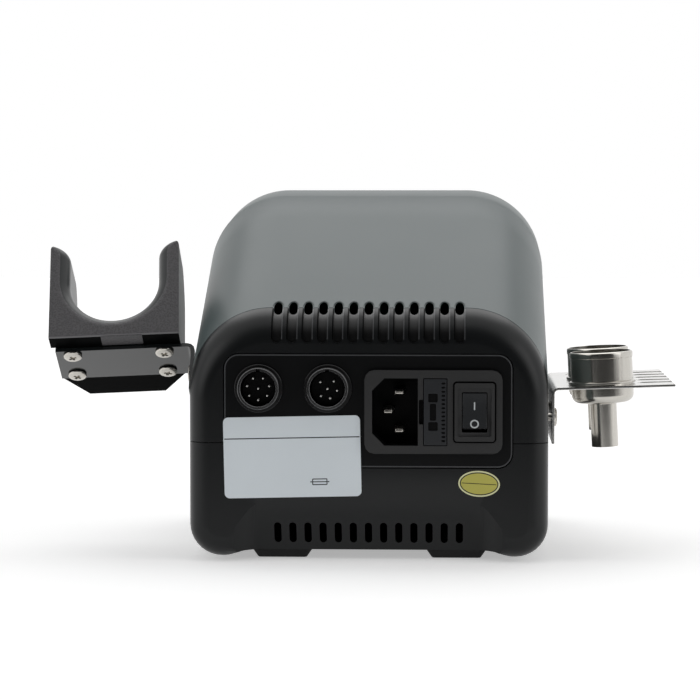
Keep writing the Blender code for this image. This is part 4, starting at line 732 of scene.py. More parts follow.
SHEET = Metal("sheet_finish", "bright_sheet", (0.68, 0.67, 0.65), 0.2, along=(2400.0, 60.0, 60.0))
NOZZLE = Metal("nozzle_finish", "bright_sheet", (0.56, 0.54, 0.50), 0.2, along=(1500.0, 1500.0, 40.0))
RUBBER = Rubber("rubber_finish", "black_rubber", (0.003, 0.003, 0.0032), 0.8)
KEY = Rubber("key_finish", "black_rubber", (0.10, 0.105, 0.11), 0.55)
CIRCUIT = Board("circuit_finish", "circuit_board", (0.008, 0.07, 0.03), 0.38)
GLASS = Glass("glass_finish", "display_glass", (0.004, 0.004, 0.006), 0.05)
ALLOY = Metal("alloy_finish", "extruded_aluminium", (0.62, 0.63, 0.64), 0.38)
IRON = Metal("iron_finish", "transformer_steel", (0.16, 0.15, 0.14), 0.42, along=(60.0, 2600.0, 60.0))
SOCKET = Metal("socket_finish", "plated_steel", (0.055, 0.055, 0.056), 0.28, along=(60.0, 60.0, 60.0))
PIN = Metal("pin_finish", "plated_steel", (0.78, 0.77, 0.74), 0.3, along=(60.0, 60.0, 60.0))
KNOB = Moulding("knob_finish", "black_moulding", (0.009, 0.009, 0.0095), 0.34)
PANEL = Moulding("panel_finish", "black_moulding", (0.0042, 0.0044, 0.0048), 0.34, specular=0.14)
CRADLE_SMOOTH = Moulding(
    "cradle_smooth_finish", "textured_plastic", (0.0085, 0.0105, 0.0110), 0.3, specular=0.45
)
# Near-black colour with almost no reflection for the cradle's down-facing faces: its smooth black with painted
# shade over it.
CRADLE_UNDER_SHADE = Moulding(
    "cradle_under_finish", "textured_plastic", (0.0025, 0.0027, 0.0028), 0.4, specular=0.01
)
# Light grey for the cradle's chamfer under the rear face: a painted highlight.
CRADLE_EDGE_HIGHLIGHT = Moulding("cradle_edge_finish", "textured_plastic", (0.15, 0.148, 0.154), 0.35)
# Lighter grey for the sockets' front rims: a painted highlight.
SOCKET_RIM_HIGHLIGHT = Metal("socket_rim_finish", "plated_steel", (0.16, 0.16, 0.163), 0.25, along=(60.0, 60.0, 60.0))
# Lighter grey for the rear panel's lip and one side of the vents' rims: a painted highlight.
LIP_HIGHLIGHT = Moulding("lip_finish", "black_moulding", (0.052, 0.054, 0.058), 0.35)
# Near-black colours for the vents' walls, floors and one side of their rims: painted shade in the grooves.
GROOVE_SHADE = Moulding("groove_side_finish", "black_moulding", (0.0016, 0.0017, 0.0018), 0.5, specular=0.05)
GROOVE_FLOOR_SHADE = Moulding("groove_floor_finish", "black_moulding", (0.0035, 0.0035, 0.0038), 0.36, specular=0.4)
STICKER_EDGE = Foil("sticker_edge_finish", "grey_moulding", (0.78, 0.78, 0.46), 0.4, metallic=0.0)
PLATE = Foil("plate_finish", "bright_sheet", (0.80, 0.86, 0.90), 0.42)
PLATE_INK = Foil("plate_ink_finish", "black_moulding", (0.022, 0.026, 0.034), 0.45, metallic=0.0)
STICKER = Foil("sticker_finish", "grey_moulding", (0.54, 0.50, 0.10), 0.4, metallic=0.0)
STICKER_INK = Foil("sticker_ink_finish", "black_moulding", (0.022, 0.022, 0.008), 0.45, metallic=0.0)
MARK = Foil("mark_finish", "plated_steel", (0.52, 0.55, 0.56), 0.5, metallic=0.0)


class Palette:
    """Materials made once and shared."""

    made: dict[str, bpy.types.Material] = {}

    @classmethod
    def of(cls, finish: Finish) -> bpy.types.Material:
        """Material of a finish."""
        if finish.name not in cls.made:
            cls.made[finish.name] = finish.build()
        return cls.made[finish.name]


class Pattern(Tree):
    """Geometry Nodes tree that repeats one solid and gives it its material."""

    def __init__(self, name: str, sizes: dict[str, str]) -> None:
        """Start the tree.

        Args:
            name: Tree name.
            sizes: Socket type of each further input, by its name.
        """
        super().__init__(bpy.data.node_groups.new(name, "GeometryNodeTree"))
        kinds = {"Places": "Geometry", "Piece": "Object", "Finish": "Material", **sizes}
        sockets = self.tree.interface
        self.names = {
            label: sockets.new_socket(label, in_out="INPUT", socket_type=f"NodeSocket{kind}").identifier
            for label, kind in kinds.items()
        }
        sockets.new_socket("Result", in_out="OUTPUT", socket_type="NodeSocketGeometry")
        self.start = self.tree.nodes.new("NodeGroupInput")

    def entry(self, label: str) -> Value:
        """One of the tree's inputs."""
        return Value(self, self.start.outputs[label])

    def close(self, places: Value, angle: Value) -> "Pattern":
        """Put the piece on the places and end the tree.

        Args:
            places: Geometry whose points carry the pieces.
            angle: Turn of each piece about Z.

        Returns:
            The pattern itself.
        """
        piece = self.node("GeometryNodeObjectInfo", {}, {"Object": self.entry("Piece")}, "Geometry")
        turn = self.node("ShaderNodeCombineXYZ", {}, {"Z": angle})
        values = {"Points": places, "Instance": piece, "Rotation": turn}
        spread = self.node("GeometryNodeInstanceOnPoints", {}, values)
        real = self.node("GeometryNodeRealizeInstances", {}, {"Geometry": spread})
        values = {"Geometry": real, "Material": self.entry("Finish")}
        done = self.node("GeometryNodeSetMaterial", {}, values)
        self.tree.links.new(done.link, self.tree.nodes.new("NodeGroupOutput").inputs[0])
        return self

    @classmethod
    def scatter(cls) -> "Pattern":
        """Pieces on given points, each turned by a seeded angle."""
        made = cls("scatter", {"Spin": "Float", "Seed": "Int"})
        values = {2: 0.0, 3: made.entry("Spin"), "Seed": made.entry("Seed")}
        angle = made.node("FunctionNodeRandomValue", {"data_type": "FLOAT"}, values, 1)
        return made.close(made.entry("Places"), angle)

    @classmethod
    def ring(cls) -> "Pattern":
        """Pieces on a circle, each turned outwards."""
        made = cls("ring", {"Count": "Int", "Radius": "Float", "Start": "Float"})
        values = {"Count": made.entry("Count"), "Offset": (0.0, 0.0, 0.0)}
        line = made.node("GeometryNodeMeshLine", {}, values)
        index = made.node("GeometryNodeInputIndex", {}, {})
        angle = index * (2 * pi) / made.entry("Count") + made.entry("Start")
        across = {
            "X": angle.wave("COSINE") * made.entry("Radius"),
            "Y": angle.wave("SINE") * made.entry("Radius"),
        }
        spot_on = made.node("ShaderNodeCombineXYZ", {}, across)
        placed = made.node("GeometryNodeSetPosition", {}, {"Geometry": line, "Position": spot_on})
        return made.close(placed, angle)

    def make(
        self, solid: bmesh.types.BMesh, finish: Finish, places: Sequence[Sequence[float]] = (),
        **sizes: object,
    ) -> bmesh.types.BMesh:
        """Repeat a solid.

        Args:
            solid: Solid to repeat, which is used up.
            finish: Surface finish.
            places: Points for a tree that reads them.
            sizes: Values of the tree's further inputs, by name.

        Returns:
            All the copies in one mesh.
        """
        points = bmesh.new()
        for place in places:
            points.verts.new(place)
        item = new_object("work", points)
        piece = new_object("work_piece", solid)
        change = item.modifiers.new("pattern", "NODES")
        change.node_group = self.tree
        for label, value in {"Piece": piece, "Finish": Palette.of(finish), **sizes}.items():
            change[self.names[label]] = value
        settle(item)
        result = bmesh.new()
        result.from_mesh(item.data)
        bpy.data.objects.remove(item)
        bpy.data.objects.remove(piece)
        return result


def numbered(stem: str, count: int) -> list[str]:
    """Names of pieces or nodes that are counted from 1."""
    return [f"{stem}_{i + 1}" for i in range(count)]


@dataclass(frozen=True)
class Datum:
    """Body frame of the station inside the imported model: rear face, middle plane and floor."""

    half_depth: float = 75.0 * MM
    panel_recess: float = 0.4 * MM

    def matrix(self) -> Matrix:
        """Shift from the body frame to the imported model.

        Returns:
            A translation found from the rear panel's own box.
        """
        low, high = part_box("rear_panel")
        middle = (low.x + high.x) / 2
        rear = high.y + self.panel_recess
        return Matrix.Translation((middle, rear - self.half_depth, 0.0))


@dataclass
class Group:
    """Pieces of one sub-assembly, with the steps that every piece goes through."""

    shift: Matrix

    def finish_piece(
        self, name: str, solid: bmesh.types.BMesh, finish: Finish, body: str,
        nodes: Sequence[str] = (), bevel: float = 0.0, angle: float = SMOOTH_ANGLE,
    ) -> bpy.types.Object:
        """Turn a solid in the body frame into a finished piece.

        Args:
            name: Piece name.
            solid: Solid in the body frame, in metres.
            finish: Surface finish.
            body: Body that the piece moves with.
            nodes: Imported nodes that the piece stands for.
            bevel: Width of the rounding on sharp edges, or 0.
            angle: Least angle of an edge that stays sharp, in degrees.

        Returns:
            The piece.
        """
        item = new_object(name, moved(solid, self.shift))
        if bevel:
            soften(item, bevel)
        self.dress(item, finish, angle)
        return self.hand_over(item, finish, body, nodes)

    @staticmethod
    def dress(item: bpy.types.Object, finish: Finish, angle: float = SMOOTH_ANGLE) -> None:
        """Give an object one material and smooth shading."""
        item.data.materials.clear()
        item.data.materials.append(Palette.of(finish))
        smooth(item, angle)

    @staticmethod
    def accent(item: bpy.types.Object, finish: Finish, chosen: Callable[[Vector, Vector], bool]) -> None:
        """Give some faces a second finish.

        Args:
            item: Finished piece.
            finish: The second finish.
            chosen: Test of a face's centre and normal.
        """
        item.data.materials.append(Palette.of(finish))
        for face in item.data.polygons:
            if chosen(face.center, face.normal):
                face.material_index = len(item.data.materials) - 1

    @staticmethod
    def hand_over(
        item: bpy.types.Object, finish: Finish, body: str, nodes: Sequence[str] = ()
    ) -> bpy.types.Object:
        """Parent a piece to the empty of the body that it rides on, and hide the imported nodes that it stands
        for.
        """
        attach(item, body)
        if nodes:
            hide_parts(*nodes)
        log.info("%s: %d faces on %s", item.name, len(item.data.polygons), body)
        return item


def node_body(node: str) -> str:
    """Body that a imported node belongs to."""
    return next(body for body, nodes in frame["record"]["behaviour"]["bodies"].items() if node in nodes)


@dataclass
class Refined(Group):
    """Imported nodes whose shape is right, with merged faces, softened edges and a finish."""

    flat: float = radians(0.5)
    weld: float = 0.002 * MM

    def merged(self, node: str) -> bmesh.types.BMesh:
        """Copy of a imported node's mesh with its doubles and flat faces merged."""
        solid = bmesh.new()
        solid.from_mesh(frame["nodes"][node].data)
        bmesh.ops.remove_doubles(solid, verts=solid.verts, dist=self.weld)
        bmesh.ops.dissolve_limit(
            solid, angle_limit=self.flat, verts=solid.verts, edges=solid.edges, use_dissolve_boundaries=False
        )
        return solid

    def refine(
        self, node: str, finish: Finish, bevel: float = BEVEL, angle: float = SMOOTH_ANGLE
    ) -> bpy.types.Object:
        """Make the finished piece of one node.

        Args:
            node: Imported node's name.
            finish: Surface finish.
            bevel: Width of the rounding on sharp edges, or 0.
            angle: Least angle of an edge that stays sharp, in degrees.

        Returns:
            The piece, which stands for the node.
        """
        item = new_object(f"{node}_piece", self.merged(node))
        if bevel:
            soften(item, bevel)
        self.dress(item, finish, angle)
        return self.hand_over(item, finish, node_body(node), [node])


@dataclass
class Housing(Group):
    """The three moulded shells, with vents and a hollow under the rear face, and the rear panel's lip."""

    width: float = 132.0 * MM
    depth: float = 150.0 * MM
    rear_height: float = 88.3 * MM
    slope: float = radians(25.2)
    ridge: float = 96.5 * MM
    band_slope: float = radians(5.4)
    lean: float = 25.0 * MM
    arch_radius: float = 30.0 * MM
    bottom_radius: float = 12.0 * MM
    rear_fillet: float = 8.0 * MM
    front_fillet: float = 5.0 * MM
    inner_fillet: float = 1.5 * MM
    wall: float = 2.5 * MM
    gap: float = 0.3 * MM
    leg: float = 1.5 * MM
    underside: float = 3.5 * MM
    underside_width: float = 87.0 * MM
    seam: float = 43.9 * MM
    bezel: float = 10.0 * MM
    vents: int = 13
    vent_pitch: float = 5.57 * MM
    upper_vent: tuple[float, float, float] = (3.3 * MM, 80.6 * MM, 94.7 * MM)
    upper_open: float = 90.4 * MM
    groove: float = 1.6 * MM
    vent_rim: Point = (0.42 * MM, 0.3 * MM)
    lower_vent: tuple[float, float, float] = (2.65 * MM, 6.3 * MM, 14.2 * MM)
    scoop_height: float = 21.5 * MM
    scoop_depth: float = 10.0 * MM
    scoop_width: float = 93.0 * MM
    scoop_fade: float = 13.0 * MM
    scoop_steps: int = 10
    scoop_end: Point = (0.4, 0.2 * MM)
    legs: tuple[float, float, float] = (2.0 * MM, 9.0 * MM, 0.05 * MM)
    panel_size: Point = (105.5 * MM, 41.5 * MM)
    panel_centre: float = 55.7 * MM
    panel_radius: float = 5.4 * MM
    lip_lines: Point = (0.15 * MM, 0.6 * MM)
    lip_depth: float = 1.0 * MM
    fascia_border: float = 8.0 * MM
    fascia_low: float = 7.0 * MM
    fascia_radius: float = 5.0 * MM
    knob: tuple[float, float, float] = (21.0 * MM, 27.7 * MM, 0.9 * MM)
    arch_steps: int = 26
    corner_steps: int = 9
    run_steps: int = 5
    slot_steps: int = 8
    beyond: float = 5.0 * MM
    edge: float = 0.35 * MM
    wall_normal: float = 0.6
    floor_normal: float = 0.3
    rim_normal: float = 0.5

    @property
    def rear(self) -> float:
        """Rear face's Y in the body frame."""
        return self.depth / 2

    def top_line(self, depth: float) -> float:
        """Roof height at a depth from the rear face."""
        slope = tan(self.slope) * min(depth, self.ridge)
        return self.rear_height + slope + tan(self.band_slope) * max(depth - self.ridge, 0.0)

    @property
    def front_top(self) -> float:
        """Height of the roof's front edge."""
        return self.top_line(self.depth - self.lean)

    @property
    def tilt(self) -> float:
        """Lean of the front face from the vertical, in radians."""
        return atan(self.lean / self.front_top)

    def arch(
        self, half: float, low: float, high: float, top_radius: float, foot_radius: float
    ) -> list[Point]:
        """Cross-section: large round shoulders above, small round corners below.

        Args:
            half: Half the width.
            low: Lowest height.
            high: Greatest height.
            top_radius: Radius of the shoulders.
            foot_radius: Radius of the lower corners.

        Returns:
            The outline's points, anticlockwise.
        """
        shoulder, corner = half - top_radius, half - foot_radius
        return (
            arc((shoulder, high - top_radius), top_radius, 0.0, pi / 2, self.arch_steps)
            + arc((-shoulder, high - top_radius), top_radius, pi / 2, pi, self.arch_steps)
            + arc((-corner, low + foot_radius), foot_radius, pi, 3 * pi / 2, self.corner_steps)
            + arc((corner, low + foot_radius), foot_radius, 3 * pi / 2, 2 * pi, self.corner_steps)
        )

    def form(self, inset: float, low: float) -> bmesh.types.BMesh:
        """The housing's form, moved inwards.

        Args:
            inset: Distance inside the outer surface.
            low: Lowest height.

        Returns:
            A closed solid.
        """
        rear_radius = max(self.rear_fillet - inset, self.inner_fillet)
        front_radius = max(self.front_fillet - inset, self.inner_fillet)
        rings = []

        def section(shrink: float, top: float) -> list[Point]:
            """Cross-section moved inwards at one place."""
            return self.arch(
                self.width / 2 - shrink, low + shrink - inset, top - shrink,
                self.arch_radius - shrink, max(self.bottom_radius - shrink, self.inner_fillet),
            )

        for i in range(self.corner_steps + 1):
            turn = i * pi / 2 / self.corner_steps
            depth = inset + rear_radius * (1 - cos(turn))
            outline = section(inset + rear_radius * (1 - sin(turn)), self.top_line(depth))
            rings.append([(x, self.rear - depth, z) for x, z in outline])
        start = inset + rear_radius
        for i in range(1, self.run_steps + 1):
            depth = start + (self.ridge - start) * i / self.run_steps
            rings.append([(x, self.rear - depth, z) for x, z in section(inset, self.top_line(depth))])
        for i in range(self.corner_steps, -1, -1):
            turn = i * pi / 2 / self.corner_steps
            depth = inset + front_radius * (1 - cos(turn))
            outline = section(
                inset + front_radius * (1 - sin(turn)), self.top_line(self.depth - self.lean - depth)
            )
            face = -self.rear + depth / cos(self.tilt)
            rings.append([(x, face + z * tan(self.tilt), z) for x, z in outline])
        return loft(rings)

    def scoop(self, grow: float) -> bmesh.types.BMesh:
        """Slanted hollow under the rear face whose ends fade out, grown by a distance."""
        slant = self.scoop_depth / (self.scoop_height - self.underside)
        shift, outside = grow / cos(atan(slant)), self.beyond
        edge = (self.scoop_width + self.scoop_fade) / 2 + grow
        least, proud = self.scoop_end

        def ring(x: float, share: float) -> list[tuple[float, float, float]]:
            """Section at one place, with its share of the full depth."""
            rise = (self.scoop_height - self.underside) * (least + (1 - least) * share)
            back = -proud * (1 - share)
            deep, top = back + self.scoop_depth * share, self.underside + rise
            points = (
                (-outside, top + outside / slant), (back, top), (deep, self.underside), (deep, -outside),
                (-outside, -outside),
            )
            return [(x, self.rear - depth - shift, height) for depth, height in points]

        half = []
        for i in range(self.scoop_steps + 1):
            along = i / self.scoop_steps
            half.append((edge - self.scoop_fade * along, ease(along)))
        left = [ring(-x, share) for x, share in half]
        return loft(left + [ring(x, share) for x, share in reversed(half)])

    def hollow(self) -> bmesh.types.BMesh:
        """Room under the raised underside, with curved legs beside it."""
        inset, reach, sunk = self.legs
        low, high = self.leg - sunk, self.underside
        start = self.underside_width / 2 + inset
        curve = []
        for i in range(self.scoop_steps + 1):
            along = i / self.scoop_steps
            curve.append((start + reach * (1 - along), low + (high - low) * ease(along)))
        right = [(start + reach, -self.width), *curve]
        outline = [(-x, z) for x, z in right] + right[::-1]
        return prism(outline, -self.depth, self.depth, Axis.Y)

    def inside(self) -> bmesh.types.BMesh:
        """Room inside the walls."""
        return combine(self.form(self.wall, self.underside + self.wall), self.scoop(self.wall), Join.TAKE)

    def row(self, sizes: tuple[float, float, float], front: float, back: float) -> bmesh.types.BMesh:
        """One row of round-ended slots.

        Args:
            sizes: Slot width, lowest and highest point.
            front: Y where the slots end inside.
            back: Y where they start outside.

        Returns:
            The slots' solids in one mesh.
        """
        width, low, high = sizes
        middle = (low + high) / 2
        slots = []
        for i in range(self.vents):
            x = (i - (self.vents - 1) / 2) * self.vent_pitch
            outline = rounded((x, middle), (width, high - low), width / 2, self.slot_steps)
            slots.append(prism(outline, front, back, Axis.Y))
        return joined(slots)

    def upper_vents(self) -> list[bmesh.types.BMesh]:
        """Grooves over the shoulder, the shallow rims round them, and the holes at their upper ends."""
        back, front = self.rear + self.beyond, self.rear - 2 * self.bezel
        width, low, high = self.upper_vent
        reach, sunk = self.vent_rim
        wide = (width + 2 * reach, low - reach, high + reach)
        grooves, rims = (
            combine(self.row(sizes, front, back), self.form(depth, self.leg), Join.TAKE)
            for sizes, depth in ((self.upper_vent, self.groove), (wide, sunk))
        )
        return [grooves, rims, self.row((width, self.upper_open, high), front, back)]

    def panel_opening(self) -> bmesh.types.BMesh:
        """Hole for the rear panel."""
        size = (self.panel_size[0] + 2 * self.gap, self.panel_size[1] + 2 * self.gap)
        outline = rounded((0.0, self.panel_centre), size, self.panel_radius + self.gap, self.slot_steps)
        return prism(outline, self.rear - self.bezel, self.rear + self.beyond, Axis.Y)

    def fascia_opening(self) -> bmesh.types.BMesh:
        """Hole for the front panel, in the front face's plane."""
        grow = self.gap
        outline = self.arch(
            self.width / 2 - self.fascia_border + grow,
            (self.seam + self.fascia_low) / cos(self.tilt) - grow,
            self.front_top / cos(self.tilt) - self.fascia_border + grow,
            self.arch_radius - self.fascia_border + grow, self.fascia_radius + grow,
        )
        return moved(prism(outline, -2 * self.wall, self.beyond, Axis.Z), self.front_matrix())

    def front_matrix(self) -> Matrix:
        """Frame of the front face: X across, Y up the face, Z outwards."""
        return Matrix.Translation((0.0, -self.rear, 0.0)) @ Matrix.Rotation(pi / 2 - self.tilt, 4, "X")

    def knob_place(self) -> Matrix:
        """Frame of the airflow knob's base on the front panel."""
        side, drop, proud = self.knob
        height = self.front_top / cos(self.tilt) - self.fascia_border - drop
        across = self.width / 2 - self.fascia_border - side
        return self.front_matrix() @ Matrix.Translation((across, height, proud))

    def shell(
        self, low: Sequence[float], high: Sequence[float], tools: Sequence[bmesh.types.BMesh]
    ) -> bmesh.types.BMesh:
        """Part of the housing between two corners.

        Args:
            low: Lowest corner.
            high: Highest corner.
            tools: Solids that are taken away, and used up.

        Returns:
            The shell's solid.
        """
        solid = combine(self.form(0.0, self.leg), block(low, high), Join.KEEP)
        for tool in tools:
            solid = combine(solid, tool, Join.TAKE)
        return solid

    def vent_side(self, centre: Vector, sunk: float) -> float | None:
        """Find where a point lies in an upper vent.

        Args:
            centre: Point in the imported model's frame.
            sunk: Least distance in from the rear face and under the roof or its shoulder.

        Returns:
            Its place across the vent from the middle line, or None outside the vents.
        """
        width, low, high = self.upper_vent
        reach = self.vent_rim[0]
        place = self.shift.inverted() @ centre
        step = place.x / self.vent_pitch + (self.vents - 1) / 2
        aside = (step - round(step)) * self.vent_pitch
        depth = self.rear - place.y - sunk
        beside = not -0.5 < step < self.vents - 0.5 or abs(aside) > width / 2 + reach
        if beside or not 0 < depth < 2 * self.bezel:
            return None
        bend = max(1 - depth / self.rear_fillet, 0.0)
        roof = self.top_line(depth) - self.rear_fillet * (1 - sqrt(1 - bend * bend))
        return aside if low - reach < place.z < min(high + reach, roof - sunk) else None

    def shade_vents(self, item: bpy.types.Object) -> None:
        """Paint shade on the vents' walls and floors and on one side of their rims, and a painted highlight on
        the other side.
        """
        half, near, deep = self.upper_vent[0] / 2, self.vent_rim[1] / 2, self.groove / 2

        def wall(centre: Vector, normal: Vector) -> bool:
            """Test for a wall, which gets painted shade."""
            return abs(normal.x) > self.wall_normal and self.vent_side(centre, near) is not None

        def floor(centre: Vector, normal: Vector) -> bool:
            """Test for a groove's floor, which gets painted shade."""
            return abs(normal.x) < self.floor_normal and self.vent_side(centre, deep) is not None

        def rim(side: int) -> Callable[[Vector, Vector], bool]:
            """Make the test for one side of the rims."""

            def test(centre: Vector, normal: Vector) -> bool:
                """Test for that side."""
                place = self.vent_side(centre, near)
                return abs(normal.x) < self.rim_normal and place is not None and side * place > half

            return test

        # Walls, floors and one rim side get painted shade; the other rim side gets a painted highlight.
        tests = ((GROOVE_SHADE, wall), (GROOVE_FLOOR_SHADE, floor), (GROOVE_SHADE, rim(1)), (LIP_HIGHLIGHT, rim(-1)))
        for finish, chosen in tests:
            self.accent(item, finish, chosen)

    def panel_lip(self) -> bmesh.types.BMesh:
        """Thin raised line along the rear panel's border."""
        lines = []
        for inset in self.lip_lines:
            size = (self.panel_size[0] - 2 * inset, self.panel_size[1] - 2 * inset)
            radius = self.panel_radius - inset
            lines.append(rounded((0.0, self.panel_centre), size, radius, self.slot_steps))
        return band(lines[0], lines[1], self.rear - self.lip_depth, self.rear - self.gap, Axis.Y)

    def build(self) -> None:
        """Make the three shells and the rear panel's lip."""
        size, half_gap = self.width, self.gap / 2
        lower = self.row(self.lower_vent, self.rear - 2 * self.scoop_depth, self.rear + self.beyond)
        base = self.shell(
            (-size, -size, -size), (size, size, self.seam - half_gap),
            [self.inside(), self.hollow(), self.scoop(0.0), self.panel_opening(), lower],
        )
        self.finish_piece("base_shell_piece", base, BLACK, "station", ["base_shell"], self.edge)
        split = self.rear - self.bezel
        bezel = self.shell(
            (-size, split + half_gap, self.seam + half_gap), (size, size, 2 * size),
            [self.inside(), self.panel_opening(), *self.upper_vents()],
        )
        piece = self.finish_piece("rear_bezel_piece", bezel, BLACK, "station", ["rear_bezel"], self.edge)
        self.shade_vents(piece)
        # The lip is coloured lighter: a painted highlight along the panel's border.
        self.finish_piece("rear_panel_lip", self.panel_lip(), LIP_HIGHLIGHT, "station")
        cover = self.shell(
            (-size, -size, self.seam + half_gap), (size, split - half_gap, 2 * size),
            [self.inside(), self.fascia_opening(), *self.upper_vents()],
        )
        self.finish_piece("top_cover_piece", cover, GREY, "station", ["top_cover"], self.edge)


@dataclass
class Fasteners(Group):
    """Pan-head screws with a cross recess, repeated over their places."""

    head: Point = (3.5 * MM, 1.15 * MM)
    shank: float = 1.5 * MM
    edge: float = 0.3
    foot: Point = (0.96, 0.4)
    crown: float = 0.55
    crown_steps: int = 7
    recess: tuple[float, float, float] = (0.5 * MM, 2.0 * MM, 0.8 * MM)
    recess_taper: float = 0.62
    beyond: float = 1.0 * MM
    steps: int = 40

    def screw(self, length: float) -> bmesh.types.BMesh:
        """One screw: head on Z = 0, shank down.

        Args:
            length: Length of the shank.

        Returns:
            The screw's solid.
        """
        radius, height = self.head
        skirt = height * self.edge
        inner, low = self.foot
        profile = [
            (0.0, -length), (self.shank, -length), (self.shank, 0.0), (radius * inner, 0.0),
            (radius, skirt * low),
        ]
        for i in range(self.crown_steps + 1):
            turn = i * pi / (2 * self.crown_steps)
            profile.append((radius * cos(turn) ** self.crown, skirt + (height - skirt) * sin(turn)))
        profile.append((0.0, height))
        solid = lathe(profile, self.steps)
        half, reach, depth = self.recess
        tip, above = reach * self.recess_taper, height + self.beyond
        wing = [(-reach, above), (reach, above), (tip, height - depth), (-tip, height - depth)]
        for axis in (Axis.Y, Axis.X):
            solid = combine(solid, prism(wing, -half, half, axis), Join.TAKE)
        return solid

    def build(
        self, name: str, nodes: Sequence[str], frame_of: Matrix, places: Sequence[Point], length: float,
        seed: int,
    ) -> None:
        """Make one row of screws.

        Args:
            name: Piece name.
            nodes: Packed screws that the row stands for.
            frame_of: Frame whose Z axis points out of the heads, in the body frame.
            places: Places in that frame.
            length: Shank length.
            seed: Seed of the screws' turn.
        """
        spots = [(x, y, 0.0) for x, y in places]
        row = Pattern.scatter().make(self.screw(length), PLATED, spots, Spin=2 * pi, Seed=seed)
        self.finish_piece(name, moved(row, frame_of), PLATED, "station", nodes)


@dataclass
class Socket(Group):
    """Round threaded panel socket: dark plated barrel, insulator and pins."""

    height: float = 63.9 * MM
    face: float = 74.6 * MM
    barrel: float = 7.7 * MM
    bore: float = 6.5 * MM
    collar: tuple[float, float] = (8.8 * MM, 1.2 * MM)
    proud: float = 4.2 * MM
    length: float = 17.0 * MM
    gap: float = 0.3 * MM
    insert: float = 5.2 * MM
    thread: tuple[float, float] = (0.22 * MM, 0.5 * MM)
    key: Point = (1.4 * MM, 0.9 * MM)
    pin: tuple[float, float, float] = (0.42 * MM, 4.0 * MM, 4.0 * MM)
    pin_steps: int = 12
    dome_steps: int = 4
    outward: float = 0.3
    steps: int = 64

    def shell(self) -> bmesh.types.BMesh:
        """Barrel with its collar, thread and rounded rim."""
        collar, thick = self.collar
        depth, pitch = self.thread
        top = self.gap + thick
        small = self.gap / 2
        profile = [
            (self.barrel, self.proud - self.length), (self.barrel, self.gap), (collar, self.gap),
            (collar, top - small), (collar - small, top), (self.barrel - depth, top),
        ]
        level = top + pitch / 2
        while level < self.proud - pitch:
            profile += [(self.barrel, level), (self.barrel - depth, level + pitch / 2)]
            level += pitch
        profile += [
            (self.barrel - small, self.proud - small), (self.barrel - 2 * small, self.proud),
            (self.bore + small, self.proud), (self.bore, self.proud - small),
            (self.bore, self.proud - self.length),
        ]
        return lathe(profile, self.steps)

    def core(self) -> bmesh.types.BMesh:
        """Insulator with a raised middle."""
        face = self.proud - self.insert
        radius = self.bore - self.gap
        profile = [
            (0.0, self.proud - self.length), (radius, self.proud - self.length), (radius, face - self.gap),
            (radius - self.gap, face), (0.0, face),
        ]
        return lathe(profile, self.steps)

    def contact(self) -> bmesh.types.BMesh:
        """One round pin with a domed tip."""
        radius, out, tail = self.pin
        tip = self.proud - self.insert + out
        end = self.proud - self.length - tail
        profile = [(0.0, end), (radius, end), (radius, tip - radius)]
        for i in range(1, self.dome_steps):
            turn = i * pi / (2 * self.dome_steps)
            profile.append((radius * cos(turn), tip - radius + radius * sin(turn)))
        return lathe(profile + [(0.0, tip)], self.pin_steps)

    def build(self, name: str, x: float, pin_circle: float, turns: Sequence[float]) -> None:
        """Make one socket.

        Args:
            name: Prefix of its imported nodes.
            x: Place across the panel.
            pin_circle: Radius of the circle of pins round the middle one.
            turns: Angles of those pins in degrees, seen from behind.
        """
        place = Matrix.Translation((x, self.face, self.height)) @ Matrix.Rotation(-pi / 2, 4, "X")
        shell = moved(self.shell(), place)
        wide, deep = self.key
        notch = rounded((x, self.height + self.bore), (wide, 2 * deep), self.gap)
        face = self.face + self.proud - self.insert
        shell = combine(shell, prism(notch, face, self.face + 2 * self.proud, Axis.Y), Join.TAKE)
        barrel = self.finish_piece(f"{name}_barrel", shell, SOCKET, "station", [f"{name}_shell"])
        edge = self.shift @ Vector((x, self.face + self.proud - self.gap, self.height))

        def rim(centre: Vector, normal: Vector) -> bool:
            """Test for the front rim, which gets a painted highlight."""
            away = hypot(centre.x - edge.x, centre.z - edge.z)
            return centre.y > edge.y and normal.y > self.outward and away > self.bore

        # The front rim gets a lighter colour: painted highlight.
        self.accent(barrel, SOCKET_RIM_HIGHLIGHT, rim)
        core = moved(self.core(), place)
        self.finish_piece(f"{name}_core", core, INSULATOR, "station", [f"{name}_insert"])
        spots = [(-pin_circle * cos(radians(turn)), -pin_circle * sin(radians(turn)), 0.0) for turn in turns]
        contacts = Pattern.scatter().make(self.contact(), PIN, [(0.0, 0.0, 0.0), *spots], Spin=0.0, Seed=4)
        self.finish_piece(f"{name}_pins", moved(contacts, place), PIN, "station")


